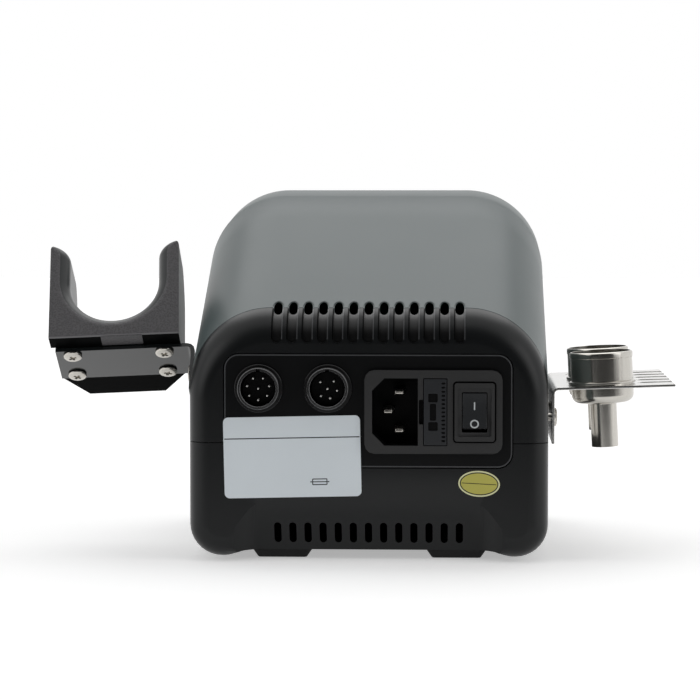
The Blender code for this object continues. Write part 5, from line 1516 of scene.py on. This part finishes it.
@dataclass
class Cradle(Group):
    """Moulded rest for the hot air gun, in its tilted frame: foot, arms, and a channel with a wide mouth."""

    place: tuple[float, float, float] = (95.5 * MM, 50.0 * MM, 81.8 * MM)
    tilt: float = radians(33.0)
    droop: float = radians(3.0)
    width: float = 47.3 * MM
    height: float = 41.1 * MM
    length: float = 44.4 * MM
    arm: float = 28.0 * MM
    arm_radius: float = 18.0 * MM
    base: float = 7.0 * MM
    channel: float = 16.9 * MM
    mouth: float = 21.9 * MM
    mouth_length: float = 6.0 * MM
    channel_height: float = 25.7 * MM
    channel_shift: float = 1.3 * MM
    tip: float = 5.2 * MM
    tip_round: float = 2.0 * MM
    widening: float = 1.7 * MM
    foot_start: float = -7.5 * MM
    chamfer: Point = (8.9 * MM, 13.4 * MM)
    beyond: float = 5.0 * MM
    steps: int = 40
    tip_steps: int = 10
    flat_steps: int = 5
    flat_end: float = 0.02 * MM
    edge: float = 0.45 * MM
    edge_segments: int = 3
    edge_angle: float = 40.0
    face_limit: float = 0.9
    under_limit: float = 0.97
    chamfer_limit: float = 0.3
    screw_span: Point = (34.7 * MM, 14.6 * MM)
    screw_middle: float = -17.85 * MM
    screw_seat: float = -2.1 * MM
    screw_length: float = 8.0 * MM
    wall_x: float = 68.1 * MM
    wall_span: float = 12.0 * MM
    wall_drop: float = 11.0 * MM
    wall_head: Point = (3.2 * MM, 0.6 * MM)
    wall_recess: tuple[float, float, float] = (0.5 * MM, 1.9 * MM, 0.45 * MM)
    pad: tuple[float, float, float] = (15.5 * MM, 6.6 * MM, 0.2 * MM)
    pad_shift: float = -2.0 * MM

    @property
    def own(self) -> Matrix:
        """The cradle's frame inside the body frame."""
        turn = Matrix.Rotation(self.tilt, 4, "X") @ Matrix.Rotation(self.droop, 4, "Y")
        return Matrix.Translation(self.place) @ turn

    def channel_ring(self, radius: float, v: float) -> list[tuple[float, float, float]]:
        """U-shaped cross-section with the round arm tips on both sides.

        Args:
            radius: Radius of the channel there.
            v: Place along the channel.

        Returns:
            The section's points.
        """
        bend, shoulder = self.height - self.tip, self.height - self.tip_round
        half, shift = self.width / 2, self.channel_shift
        tips = []
        for side, outer in ((1, half + self.widening - shift), (-1, half + shift)):
            middle = min(radius + self.tip, outer - self.tip_round / 2)
            last = acos((radius + self.tip - middle) / self.tip)
            turns = [last * i / self.tip_steps for i in range(self.tip_steps + 1)]
            across = [radius + self.tip * (1 - cos(turn)) for turn in turns]
            flats = range(1, self.flat_steps + 1)
            across += [middle + (outer - middle) * i / self.flat_steps for i in flats]
            line = []
            for u in across:
                inner = bend + sqrt(max(self.tip**2 - max(radius + self.tip - u, 0.0) ** 2, 0.0))
                fall = max(u - outer + self.tip_round, 0.0)
                outward = shoulder + sqrt(max(self.tip_round**2 - fall**2, 0.0))
                line.append((side * u + shift, min(inner, outward)))
            line[-1] = (line[-1][0] + side * self.flat_end, line[-1][1])
            outside = side * self.width
            tips.append([*line, (outside, shoulder), (outside, self.height + self.beyond)])
        bowl = arc((self.channel_shift, self.channel_height), radius, pi, 2 * pi, self.steps)
        return [(u, v, w) for u, w in [*bowl, *tips[0], *reversed(tips[1])]]

    def rest(self) -> bmesh.types.BMesh:
        """The moulding in its own frame."""
        half, front = self.width / 2, -self.length
        cut_u, cut_v = self.chamfer
        plan = [
            (half + self.widening, 0.0), (-half, 0.0), (-half, front + cut_v), (-half + cut_u, front),
            (half - cut_u, front), (half, front + cut_v), (half + self.widening, -self.arm),
        ]
        end, outside = front - self.beyond, half + self.beyond
        corner = (-self.arm + self.arm_radius, self.height - self.arm_radius)
        side = [
            (self.beyond, -self.beyond), (self.beyond, self.height),
            *arc(corner, self.arm_radius, pi / 2, pi, self.steps),
            (-self.arm, self.base), (end, self.base), (end, -self.beyond),
        ]
        across = prism(side, -self.width, self.width, Axis.X)
        solid = combine(prism(plan, 0.0, self.height, Axis.Z), across, Join.KEEP)
        waste = [(half, self.foot_start), (half, end), (outside, end), (outside, self.foot_start)]
        solid = combine(solid, prism(waste, -self.beyond, self.base, Axis.Z), Join.TAKE)
        cut = self.edge
        waste = [(-cut, 0.0), (0.0, cut), (cut, cut), (cut, -cut), (-cut, -cut)]
        solid = combine(solid, prism(waste, -self.width, self.width, Axis.X), Join.TAKE)
        rings = []
        for i in range(self.tip_steps + 1):
            turn = i * pi / 2 / self.tip_steps
            radius = self.channel + (self.mouth - self.channel) * (1 - sin(turn))
            rings.append(self.channel_ring(radius, -self.mouth_length * (1 - cos(turn))))
        first = [(u, self.beyond, w) for u, _, w in rings[0]]
        last = [(u, end, w) for u, _, w in rings[-1]]
        return combine(solid, loft([first, *rings, last]), Join.TAKE)

    def wall_places(self) -> list[Point]:
        """Places of the bracket's wall screws, as depth and height in the body frame."""
        spots = []
        for side in (1, -1):
            start = self.own @ Vector((-self.width / 2, self.screw_middle + side * self.wall_span / 2, 0.0))
            spots.append(start + Matrix.Rotation(self.tilt, 3, "X") @ Vector((0.0, 0.0, -self.wall_drop)))
        return [(point.y, point.z) for point in spots]

    def build(self) -> None:
        """Make the rest, its moulded pad and both rows of screws."""
        item = new_object("cradle_piece", self.rest())
        soften(item, self.edge, self.edge_segments, self.edge_angle)
        solid = bmesh.new()
        solid.from_mesh(item.data)
        bpy.data.objects.remove(item)
        frame_of = self.shift @ self.own
        piece = new_object("cradle_piece", moved(solid, frame_of))
        self.dress(piece, CRADLE)
        turn = frame_of.to_3x3()
        back = (turn @ Vector((0.0, 1.0, 0.0))).normalized()
        down = (turn @ Vector((0.0, 0.0, -1.0))).normalized()
        self.accent(piece, CRADLE_SMOOTH, lambda centre, normal: normal.dot(back) < self.face_limit)
        # Down-facing faces get a near-black colour that barely reflects: painted shade under the cradle.
        self.accent(piece, CRADLE_UNDER_SHADE, lambda centre, normal: normal.dot(down) > self.under_limit)

        def edge(centre: Vector, normal: Vector) -> bool:
            """Test for the chamfer under the rear face, which gets a painted highlight."""
            return min(normal.dot(down), normal.dot(back)) > self.chamfer_limit

        # The chamfer under the rear face gets a lighter colour: painted highlight.
        self.accent(piece, CRADLE_EDGE_HIGHLIGHT, edge)
        self.hand_over(piece, CRADLE, "station", ["cradle"])
        wide, long, thick = self.pad
        outline = rounded((self.pad_shift, -long / 2 - thick), (wide, long), 2 * thick)
        pad = moved(prism(outline, -thick, thick, Axis.Z), self.own)
        self.finish_piece("cradle_pad", pad, CRADLE, "station")
        fasteners = Fasteners(self.shift)
        span, rows = self.screw_span
        spots = [
            (side * span / 2, -self.screw_middle + row * rows / 2) for row in (1, -1) for side in (1, -1)
        ]
        under = self.own @ Matrix.Translation((0.0, 0.0, self.screw_seat)) @ Matrix.Rotation(pi, 4, "X")
        nodes = numbered("cradle_screw", 4)
        fasteners.build("cradle_screws", nodes, under, spots, self.screw_length, seed=3)
        fasteners = Fasteners(self.shift, head=self.wall_head, recess=self.wall_recess)
        outward = Matrix.Translation((self.wall_x, 0.0, 0.0)) @ Matrix.Rotation(pi / 2, 4, "Y")
        walls = [(-height, depth) for depth, height in self.wall_places()]
        nodes = numbered("bracket_screw", 2)
        fasteners.build("bracket_screws", nodes, outward, walls, self.screw_length, seed=5)


@dataclass
class Nozzles(Group):
    """Two pressed nozzles that hang in the rack: cup, bead, folded rim and outlet tube."""

    across: float = -87.2 * MM
    rows: Point = (36.0 * MM, 8.0 * MM)
    seat: float = 63.503 * MM
    tilt: float = radians(2.9)
    radius: float = 11.7 * MM
    wall: float = 0.7 * MM
    bead: tuple[float, float] = (12.5 * MM, 0.8 * MM)
    above: float = 12.0 * MM
    below: float = 7.3 * MM
    rim: tuple[float, float] = (2.4 * MM, 0.2 * MM)
    lip: float = 0.85 * MM
    fine: Point = (0.1 * MM, 0.15 * MM)
    flare: float = 0.5 * MM
    fillet: float = 3.0 * MM
    tubes: tuple[Point, Point] = ((5.05 * MM, 16.7 * MM), (4.7 * MM, 12.7 * MM))
    gap: float = 0.3 * MM
    steps: int = 72
    curve: int = 10

    def profile(self, tube: float, length: float) -> list[Point]:
        """Half section of one nozzle.

        Args:
            tube: Outlet tube's radius.
            length: Outlet tube's length.

        Returns:
            Radius and height of each point.
        """
        outer, wall, bottom, top = self.radius, self.wall, -self.below, self.above
        inner, lip, flare = self.fillet - wall, self.lip, self.flare
        centre = (outer - self.fillet, bottom + self.fillet)
        rim, proud = self.rim
        bead, high = self.bead
        small, fine = self.fine
        return [
            (tube - wall, bottom - length), (tube - small, bottom - length),
            (tube, bottom - length + small), (tube, bottom - flare), (tube + fine, bottom - fine),
            (tube + flare, bottom), *arc(centre, self.fillet, -pi / 2, 0.0, self.curve),
            (outer, 0.0), (bead - small, 0.0), (bead, fine), (bead, high - fine), (bead - small, high),
            (outer, high + self.gap), (outer, top - rim), (outer + proud, top - rim + proud),
            *arc((outer + proud - lip, top - lip), lip, 0.0, pi / 2, self.curve // 2),
            (outer - wall, top - fine), *arc(centre, inner, 0.0, -pi / 2, self.curve),
            (tube - wall, bottom + wall),
        ]

    def build(self) -> None:
        """Make both, each on its own body."""
        for number, ((tube, length), depth) in enumerate(zip(self.tubes, self.rows), 1):
            name = f"nozzle_{number}"
            stance = Matrix.Translation((self.across, depth, self.seat))
            stance = stance @ Matrix.Rotation(self.tilt, 4, "Y")
            solid = moved(lathe(self.profile(tube, length), self.steps), stance)
            self.finish_piece(f"{name}_piece", solid, NOZZLE, node_body(name), [name])


@dataclass
class Rack(Group):
    """Wall screws of the nozzle rack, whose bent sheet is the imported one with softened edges."""

    wall_x: float = -69.1 * MM
    height: float = 50.5 * MM
    depths: Point = (36.0 * MM, -20.0 * MM)
    screw_length: float = 8.0 * MM

    def build(self) -> None:
        """Make the two screws."""
        outward = Matrix.Translation((self.wall_x, 0.0, 0.0)) @ Matrix.Rotation(-pi / 2, 4, "Y")
        nodes = numbered("rack_screw", 2)
        places = [(self.height, depth) for depth in self.depths]
        fasteners = Fasteners(self.shift)
        fasteners.build("rack_screws", nodes, outward, places, self.screw_length, seed=8)


@dataclass
class Underside(Group):
    """Rubber feet and the long housing screws."""

    foot: Point = (32.3 * MM, 50.5 * MM)
    foot_size: Point = (22.3 * MM, 24.0 * MM)
    foot_corner: float = 3.4 * MM
    foot_taper: float = 1.9 * MM
    foot_edge: float = 0.3 * MM
    foot_top: float = 3.2 * MM
    stem: tuple[float, float, float] = (3.0 * MM, 3.9 * MM, 2.1 * MM)
    stem_top: float = 6.3 * MM
    tip_top: float = 9.3 * MM
    dish: Point = (5.5 * MM, 0.7 * MM)
    dish_floor: float = 0.8
    steps: int = 56
    posts: Point = (56.0 * MM, 52.0 * MM)
    posts_front: float = -42.0 * MM
    screw_seat: float = 3.8 * MM
    screw_length: float = 50.0 * MM

    def rubber(self) -> bmesh.types.BMesh:
        """One foot: a tapered pad with round corners, a dished middle and a barbed stem."""
        wide, long = self.foot_size
        edge, inside = self.foot_edge, 2 * self.foot_edge
        rings = []
        for inset, level in (
            (self.foot_taper + edge, 0.0), (self.foot_taper, edge), (edge, self.foot_top - inside),
            (0.0, self.foot_top),
        ):
            outline = rounded((0.0, 0.0), (wide - 2 * inset, long - 2 * inset), self.foot_corner - inset)
            rings.append([spot(point, level, Axis.Z) for point in outline])
        stem, barb, tip = self.stem
        under = self.foot_top - inside
        profile = [
            (0.0, under), (stem, under), (stem, self.stem_top), (barb, self.stem_top), (tip, self.tip_top),
            (0.0, self.tip_top),
        ]
        dish, deep = self.dish
        bowl = [
            (0.0, deep), (dish * self.dish_floor, deep), (dish + deep, 0.0), (dish + deep, -deep),
            (0.0, -deep),
        ]
        pad = combine(loft(rings), lathe(bowl, self.steps), Join.TAKE)
        return combine(pad, lathe(profile, self.steps), Join.ADD)

    def build(self) -> None:
        """Make the feet and the screws."""
        x, y = self.foot
        places = [(side * x, end * y, 0.0) for end in (1, -1) for side in (1, -1)]
        feet = Pattern.scatter().make(self.rubber(), RUBBER, places, Spin=0.0, Seed=2)
        self.finish_piece("feet_piece", feet, RUBBER, "station", numbered("foot", 4))
        down = Matrix.Translation((0.0, 0.0, self.screw_seat)) @ Matrix.Rotation(pi, 4, "X")
        across, rear = self.posts
        spots = [(side * across, -depth) for depth in (rear, self.posts_front) for side in (1, -1)]
        nodes = numbered("housing_screw", 4)
        fasteners = Fasteners(self.shift)
        fasteners.build("housing_screws", nodes, down, spots, self.screw_length, seed=4)


@dataclass
class Knob(Group):
    """Airflow dial's knob: tapered skirt, hollowed grips, a dished cap and an inlaid pointer."""

    top_radius: float = 11.3 * MM
    radius: float = 12.5 * MM
    height: float = 13.0 * MM
    wall: float = 1.6 * MM
    hub: float = 5.0 * MM
    shaft: float = 3.3 * MM
    gap: float = 0.3 * MM
    grips: int = 15
    grip_radius: float = 0.9 * MM
    grip_steps: int = 16
    round_off: float = 0.9 * MM
    round_steps: int = 5
    dish: Point = (8.6 * MM, 0.5 * MM)
    pointer: Point = (1.4 * MM, 4.5 * MM)
    pointer_sunk: float = 0.1 * MM
    pointer_proud: float = 0.15 * MM
    steps: int = 90

    def build(self, place: Matrix) -> None:
        """Make the knob and its pointer.

        Args:
            place: Frame of the knob's base, with Z out of the front face, in the body frame.
        """
        top = self.height
        dish, deep = self.dish
        centre = (self.top_radius - self.round_off, top - self.round_off)
        curve = arc(centre, self.round_off, 0.0, pi / 2, self.round_steps)
        under = top - 2 * self.wall
        profile = [
            (0.0, top - deep), (dish - deep, top - deep), (dish, top), *reversed(curve), (self.radius, 0.0),
            (self.radius - self.wall, 0.0), (self.top_radius - self.wall, under), (self.hub, under),
            (self.hub, self.gap), (self.shaft, self.gap), (self.shaft, under), (0.0, under),
        ]
        solid = lathe(profile, self.steps)
        outline = circle((0.0, 0.0), self.grip_radius, self.grip_steps)
        groove = prism(outline, -self.wall, top - self.wall, Axis.Z)
        tools = Pattern.ring().make(groove, FASCIA, Count=self.grips, Radius=self.radius, Start=0.0)
        solid = combine(solid, tools, Join.TAKE)
        body = node_body("airflow_knob")
        self.finish_piece("airflow_knob_piece", moved(solid, place), KNOB, body, ["airflow_knob"])
        width, start = self.pointer
        floor = top - deep
        line = rounded((0.0, (start + dish - deep) / 2), (width, dish - deep - start), width / 2)
        pointer = prism(line, floor - self.pointer_sunk, floor + self.pointer_proud, Axis.Z)
        self.finish_piece("knob_pointer", moved(pointer, place), MARK, body)


@dataclass
class MainsModule(Refined):
    """Inlet, fuse drawer and switch frame, with a gap cut round the frame, and painted shade on the faces sunk
    deep in the gap and the inlet.
    """

    centre: Point = (-23.9 * MM, 55.5 * MM)
    face: float = 76.9 * MM
    switch_x: float = -38.9 * MM
    bezel: Point = (14.6 * MM, 21.3 * MM)
    bezel_radius: float = 0.8 * MM
    bezel_face: float = 77.9 * MM
    groove: Point = (0.6 * MM, 1.1 * MM)
    beyond: float = 0.2 * MM
    well: Point = (9.3 * MM, 14.7 * MM)
    frame_step: Point = (1.5 * MM, 0.5 * MM)
    inside: float = 0.6 * MM
    edge: float = 0.22 * MM

    def build(self) -> None:
        """Make the module."""
        solid = moved(self.merged("mains_module"), self.shift.inverted())
        wide, deep = self.groove
        across, high = self.bezel
        middle = (self.switch_x, self.centre[1])
        outer = rounded(middle, (across + 2 * wide, high + 2 * wide), self.bezel_radius + wide)
        inner = rounded(middle, self.bezel, self.bezel_radius)
        trench = band(outer, inner, self.face - deep, self.face + self.beyond, Axis.Y)
        solid = combine(solid, trench, Join.TAKE)
        ledge, drop = self.frame_step
        size = (self.well[0] + 2 * ledge, self.well[1] + 2 * ledge)
        outline = rounded(middle, size, self.bezel_radius)
        step = prism(outline, self.bezel_face - drop, self.bezel_face + drop, Axis.Y)
        solid = combine(solid, step, Join.TAKE)
        body = node_body("mains_module")
        item = self.finish_piece("mains_module_piece", solid, MODULE, body, ["mains_module"], self.edge)
        inside = (self.shift @ Vector((0.0, self.face - self.inside, 0.0))).y
        # Faces sunk more than self.inside behind the face get a near-black colour: painted shade.
        self.accent(item, MODULE_SHADE, lambda centre, normal: centre.y < inside)


@dataclass
class Drawer(Refined):
    """Fuse drawer, with painted shade in its recesses and grip grooves."""

    face: float = 76.9 * MM
    inside: float = 0.12 * MM
    edge: float = 0.12 * MM

    def build(self) -> None:
        """Make the drawer."""
        item = self.refine("fuse_drawer", DRAWER, self.edge)
        inside = (self.shift @ Vector((0.0, self.face - self.inside, 0.0))).y
        # Faces sunk more than self.inside behind the face get a near-black colour: painted shade.
        self.accent(item, MODULE_SHADE, lambda centre, normal: centre.y < inside)


@dataclass
class Plates(Group):
    """Plate with a rule and a fuse symbol, oval sticker with a bar, and the two marks on the rocker."""

    rear: float = 75.0 * MM
    plate_centre: Point = (27.7 * MM, 38.8 * MM)
    plate_size: Point = (50.2 * MM, 29.7 * MM)
    plate_radius: float = 1.9 * MM
    plate_turn: float = radians(1.25)
    film: float = 0.22 * MM
    film_edge: float = 0.05 * MM
    print_height: float = 0.02 * MM
    mark_height: float = 0.03 * MM
    flat_end: float = 0.02 * MM
    rule: tuple[float, float, float] = (7.9 * MM, 49.6 * MM, 0.4 * MM)
    symbol: tuple[float, float, float, float] = (-9.9 * MM, -9.3 * MM, 5.6 * MM, 2.4 * MM)
    symbol_line: Point = (7.0 * MM, 0.36 * MM)
    symbol_corner: float = 0.045 * MM
    symbol_step: float = 0.002 * MM
    backing: tuple[float, float, float] = (1.0 * MM, 0.45 * MM, 35.4 * MM)
    oval_centre: Point = (-40.6 * MM, 29.2 * MM)
    oval_size: Point = (15.2 * MM, 9.5 * MM)
    oval_turn: float = radians(-3.0)
    oval_rings: tuple[float, float] = (0.55 * MM, 0.4 * MM)
    bar: Point = (12.6 * MM, 0.26 * MM)
    rocker_x: float = -38.85 * MM
    stroke: tuple[float, float, float] = (57.85 * MM, 2.9 * MM, 0.48 * MM)
    ring: tuple[float, float, float] = (51.45 * MM, 1.6 * MM, 1.1 * MM)
    steps: int = 64
    corner_steps: int = 8
    line_steps: int = 3
    ring_steps: int = 40

    def oval(self, inset: float) -> list[Point]:
        """Ellipse of the sticker, moved inwards."""
        half_x, half_z = self.oval_size[0] / 2 - inset, self.oval_size[1] / 2 - inset
        return [(half_x * x, half_z * z) for x, z in circle((0.0, 0.0), 1.0, self.steps)]

    def on_rear(self, centre: Point, turn: float) -> Matrix:
        """Frame on the rear face, Y outwards, turned in its plane."""
        return Matrix.Translation((centre[0], self.rear, centre[1])) @ Matrix.Rotation(turn, 4, "Y")

    def plate(self) -> None:
        """Silver plate with a rule and a fuse symbol, on a foam pad where the panel lies back."""
        place = self.on_rear(self.plate_centre, self.plate_turn)
        outline = rounded((0.0, 0.0), self.plate_size, self.plate_radius, self.corner_steps)
        film = moved(prism(outline, 0.0, self.film, Axis.Y), place)
        self.finish_piece("rating_plate", film, PLATE, "station", bevel=self.film_edge)
        drop, length, height = self.rule
        level = self.plate_size[1] / 2 - drop
        line = rounded((0.0, level), (length, height), height / 2 - self.flat_end, self.line_steps)
        ink = moved(prism(line, self.film, self.film + self.print_height, Axis.Y), place)
        self.finish_piece("rating_plate_rule", ink, PLATE_INK, "station")
        x, z, wide, tall = self.symbol
        reach, pen = self.symbol_line
        outer, inner = rounded((x, z), (wide, tall), pen), (wide - 2 * pen, tall - 2 * pen)
        top = self.film + self.print_height
        box = band(outer, rounded((x, z), inner, self.symbol_corner), self.film, top, Axis.Y)
        wire = rounded((x, z), (reach, pen), self.symbol_corner)
        wire = prism(wire, self.film, top - self.symbol_step, Axis.Y)
        symbol = moved(joined([box, wire]), place)
        self.finish_piece("rating_plate_fuse_symbol", symbol, PLATE_INK, "station")
        margin, thick, low = self.backing
        top = self.plate_centre[1] + self.plate_size[1] / 2 - margin
        left = self.plate_centre[0] - self.plate_size[0] / 2 + margin
        right = self.plate_centre[0] + self.plate_size[0] / 2 - margin
        foam = block((left, self.rear - thick, low), (right, self.rear, top - margin))
        self.finish_piece("rating_plate_pad", foam, RUBBER, "station")

    def sticker(self) -> None:
        """Yellow oval with a pale edge, a dark ring and a middle bar."""
        place = self.on_rear(self.oval_centre, self.oval_turn)
        film = moved(prism(self.oval(0.0), 0.0, self.film, Axis.Y), place)
        self.finish_piece("oval_sticker", film, STICKER_EDGE, "station")
        edge, ring = self.oval_rings
        top = self.film + self.print_height
        dark = moved(band(self.oval(edge), self.oval(edge + ring), self.film, top, Axis.Y), place)
        self.finish_piece("oval_sticker_ring", dark, STICKER_INK, "station")
        field = moved(prism(self.oval(edge + ring), self.film, top, Axis.Y), place)
        self.finish_piece("oval_sticker_field", field, STICKER, "station")
        line = rounded((0.0, 0.0), self.bar, self.bar[1] / 2 - self.flat_end, self.line_steps)
        bar = moved(prism(line, top, top + self.print_height, Axis.Y), place)
        self.finish_piece("oval_sticker_bar", bar, STICKER_INK, "station")

    def marks(self) -> None:
        """Stroke and ring printed on the rocker's two faces."""
        mesh = bpy.data.objects["rocker_switch_piece"].data
        tree = BVHTree.FromPolygons([v.co for v in mesh.vertices], [p.vertices[:] for p in mesh.polygons])
        body = node_body("rocker_switch")

        def landed(height: float) -> Matrix:
            """Frame on the rocker's surface, Y outwards, where a line from behind meets it."""
            start = self.shift @ Vector((self.rocker_x, 2 * self.rear, height))
            spot_on, normal, _, _ = tree.ray_cast(start, Vector((0.0, -1.0, 0.0)))
            slant = atan(normal.z / normal.y)
            return Matrix.Translation(spot_on) @ Matrix.Rotation(slant, 4, "X")

        level, long, wide = self.stroke
        ring_level, outer, inner = self.ring
        thin = self.mark_height
        line = rounded((0.0, 0.0), (wide, long), wide / 2 - self.flat_end)
        rings = (circle((0.0, 0.0), radius, self.ring_steps) for radius in (outer, inner))
        for name, solid, height in (
            ("rocker_stroke", prism(line, -thin, thin, Axis.Y), level),
            ("rocker_ring", band(*rings, -thin, thin, Axis.Y), ring_level),
        ):
            item = new_object(name, moved(solid, landed(height)))
            self.dress(item, MARK)
            self.hand_over(item, MARK, body)

    def build(self) -> None:
        """Make all of them."""
        self.plate()
        self.sticker()
        self.marks()


@dataclass
class Studio:
    """Pale floor, plain soft light and the camera of the photograph."""

    distance: float = 1.0
    camera_x: float = -34.9 * MM
    camera_z: float = 138.0 * MM
    pixels_per_metre: float = 2750.0
    frame_pixels: float = 700.0
    vanishing: Point = (464.0, 185.0)
    sensor: float = 36.0
    floor_drop: float = 0.3 * MM
    floor_size: float = 6.0
    backdrop: float = 1.0
    fill: float = 0.42
    dark_side: Point = (0.35, 0.6)
    dark_level: float = 0.02
    floor_end: Point = (0.22, 0.5)
    floor_fade: Point = (0.25, 1.6)
    floor_lift: Point = (0.4, 0.7)
    floor_grey: Point = (0.86, 0.9)
    floor_cloud: float = 6.0
    floor_rough: float = 0.8
    floor_specular: float = 0.1
    near_clip: float = 0.05
    aim: tuple[float, float, float] = (0.0, 0.0, 0.07)

    def camera(self, shift: Matrix) -> None:
        """Aim the camera so that the frame's middle falls where it does in the photograph.

        Args:
            shift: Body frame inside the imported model.
        """
        data = bpy.data.cameras.new("view")
        focal = self.pixels_per_metre * self.distance
        data.sensor_width = self.sensor
        data.lens = focal / self.frame_pixels * self.sensor
        data.clip_start = self.near_clip
        item = bpy.data.objects.new("view", data)
        bpy.context.scene.collection.objects.link(item)
        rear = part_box("rear_panel")[1].y + Datum().panel_recess
        item.location = shift @ Vector((self.camera_x, 0.0, self.camera_z))
        item.location.y = rear + self.distance
        half = self.frame_pixels / 2
        across = (self.vanishing[0] - half) / focal
        down = (half - self.vanishing[1]) / focal
        ray = Vector((across, -1.0, -down))
        item.rotation_euler = ray.to_track_quat("-Z", "Y").to_matrix().to_euler()
        bpy.context.scene.camera = item

    def floor(self) -> None:
        """Plain floor that keeps the shadow: white to the camera far off, dark in reflections from the rear."""
        half = self.floor_size / 2
        plane = bmesh.new()
        corners = ((-half, -half), (half, -half), (half, half), (-half, half))
        plane.faces.new([plane.verts.new((x, y, -self.floor_drop)) for x, y in corners])
        item = new_object("floor", plane)
        graph = Graph("floor_finish")
        where = graph.place()
        cloud = graph.noise(where, self.floor_cloud)
        lit = 1.0 - graph.ray("Glossy") * graph.axis(where, "Y").step(*self.floor_end)
        low, high = self.floor_grey
        graph.feed("Base Color", graph.blend((cloud * (high - low) + low) * lit, DARK, WHITE))
        graph.feed("Roughness", self.floor_rough)
        graph.feed("Specular IOR Level", self.floor_specular)
        seen = graph.ray("Camera").most(graph.ray("Glossy")).most(graph.ray("Transmission")) * lit
        far = graph.axis(where, "X").length(graph.axis(where, "Y")).step(*self.floor_fade)
        lift = far * (self.floor_lift[1] - self.floor_lift[0]) + self.floor_lift[0]
        graph.feed("Emission Color", graph.blend((lift * seen).least(1.0), DARK, WHITE))
        graph.feed("Emission Strength", 1.0)
        item.data.materials.append(graph.material)

    def world(self) -> None:
        """White behind the object; a soft light, with the dark side of the studio behind the camera."""
        graph = Graph("surround", world=True)
        toward = graph.axis(graph.place(), "Y").step(*self.dark_side)
        glossy = graph.ray("Glossy")
        mirrored = toward * (self.dark_level - self.backdrop) + self.backdrop
        light = glossy * (mirrored - self.fill) + self.fill
        shown = graph.ray("Camera").most(graph.ray("Transmission"))
        level = shown * (self.backdrop - light) + light
        graph.feed("Color", graph.blend(level, DARK, WHITE))
        graph.feed("Strength", 1.0)
        bpy.context.scene.world = graph.material

    def lamp(self, name: str, place: Sequence[float], size: Point, power: float) -> None:
        """Soft rectangular lamp, aimed at the object.

        Args:
            name: Lamp name.
            place: Centre of the lamp.
            size: Width and height.
            power: Power in watts.
        """
        data = bpy.data.lights.new(name, "AREA")
        data.shape = "RECTANGLE"
        data.size, data.size_y = size
        data.energy = power
        item = bpy.data.objects.new(name, data)
        item.location = place
        ray = Vector(self.aim) - Vector(place)
        item.rotation_euler = ray.to_track_quat("-Z", "Y").to_euler()
        bpy.context.scene.collection.objects.link(item)

    def build(self, shift: Matrix) -> None:
        """Make the stage, the lamps and the camera."""
        self.floor()
        self.world()
        self.camera(shift)
        for name, place, size, power in LAMPS:
            self.lamp(name, place, size, power)
        bpy.context.scene.view_settings.view_transform = "Standard"


REFINED: dict[Finish, tuple[str, ...]] = {
    PANEL: ("rear_panel",),
    ROCKER: ("rocker_switch",),
    ENAMEL: ("cradle_bracket",),
    SHEET: ("nozzle_rack",),
    DARK_PLATED: ("gun_socket_nut", "iron_socket_nut"),
    INSULATOR: ("display_module", "airflow_dial_body", "capacitor"),
    PLATED: (
        "inlet_blade_line", "inlet_blade_earth", "inlet_blade_neutral", "fuse", "airflow_shaft",
        *numbered("board_screw", 4),
    ),
    KEY: tuple(numbered("key", 5)),
    FASCIA: ("front_panel",),
    GLASS: ("display_window",),
    CIRCUIT: ("control_board", "power_board"),
    ALLOY: ("heat_sink",),
    IRON: ("transformer",),
}
LAMPS = (
    ("top", (0.0, -0.45, 0.95), (1.1, 0.8), 4.0),
    ("left", (1.0, 0.7, 0.5), (0.6, 0.9), 2.0),
    ("right", (-1.0, 0.6, 0.5), (0.6, 0.9), 2.0),
)
SOCKETS = (
    ("gun_socket", 40.0 * MM, 4.2 * MM, [-90.0 + i * 360.0 / 7 for i in range(7)]),
    ("iron_socket", 14.7 * MM, 3.6 * MM, [137.0, 50.0, -10.0, -74.0, -132.0]),
)


def main() -> None:
    """Build the scene."""
    logging.basicConfig(level=logging.INFO, format="%(message)s")
    shift = Datum().matrix()
    Studio().build(shift)
    housing = Housing(shift)
    housing.build()
    refined = Refined(shift)
    for finish, nodes in REFINED.items():
        for node in nodes:
            refined.refine(node, finish)
    MainsModule(shift).build()
    Drawer(shift).build()
    for name, x, pin_circle, turns in SOCKETS:
        Socket(shift).build(name, x, pin_circle, turns)
    Cradle(shift).build()
    Nozzles(shift).build()
    Rack(shift).build()
    Underside(shift).build()
    Knob(shift).build(housing.knob_place())
    Plates(shift).build()


if __name__ == "__main__":
    main()
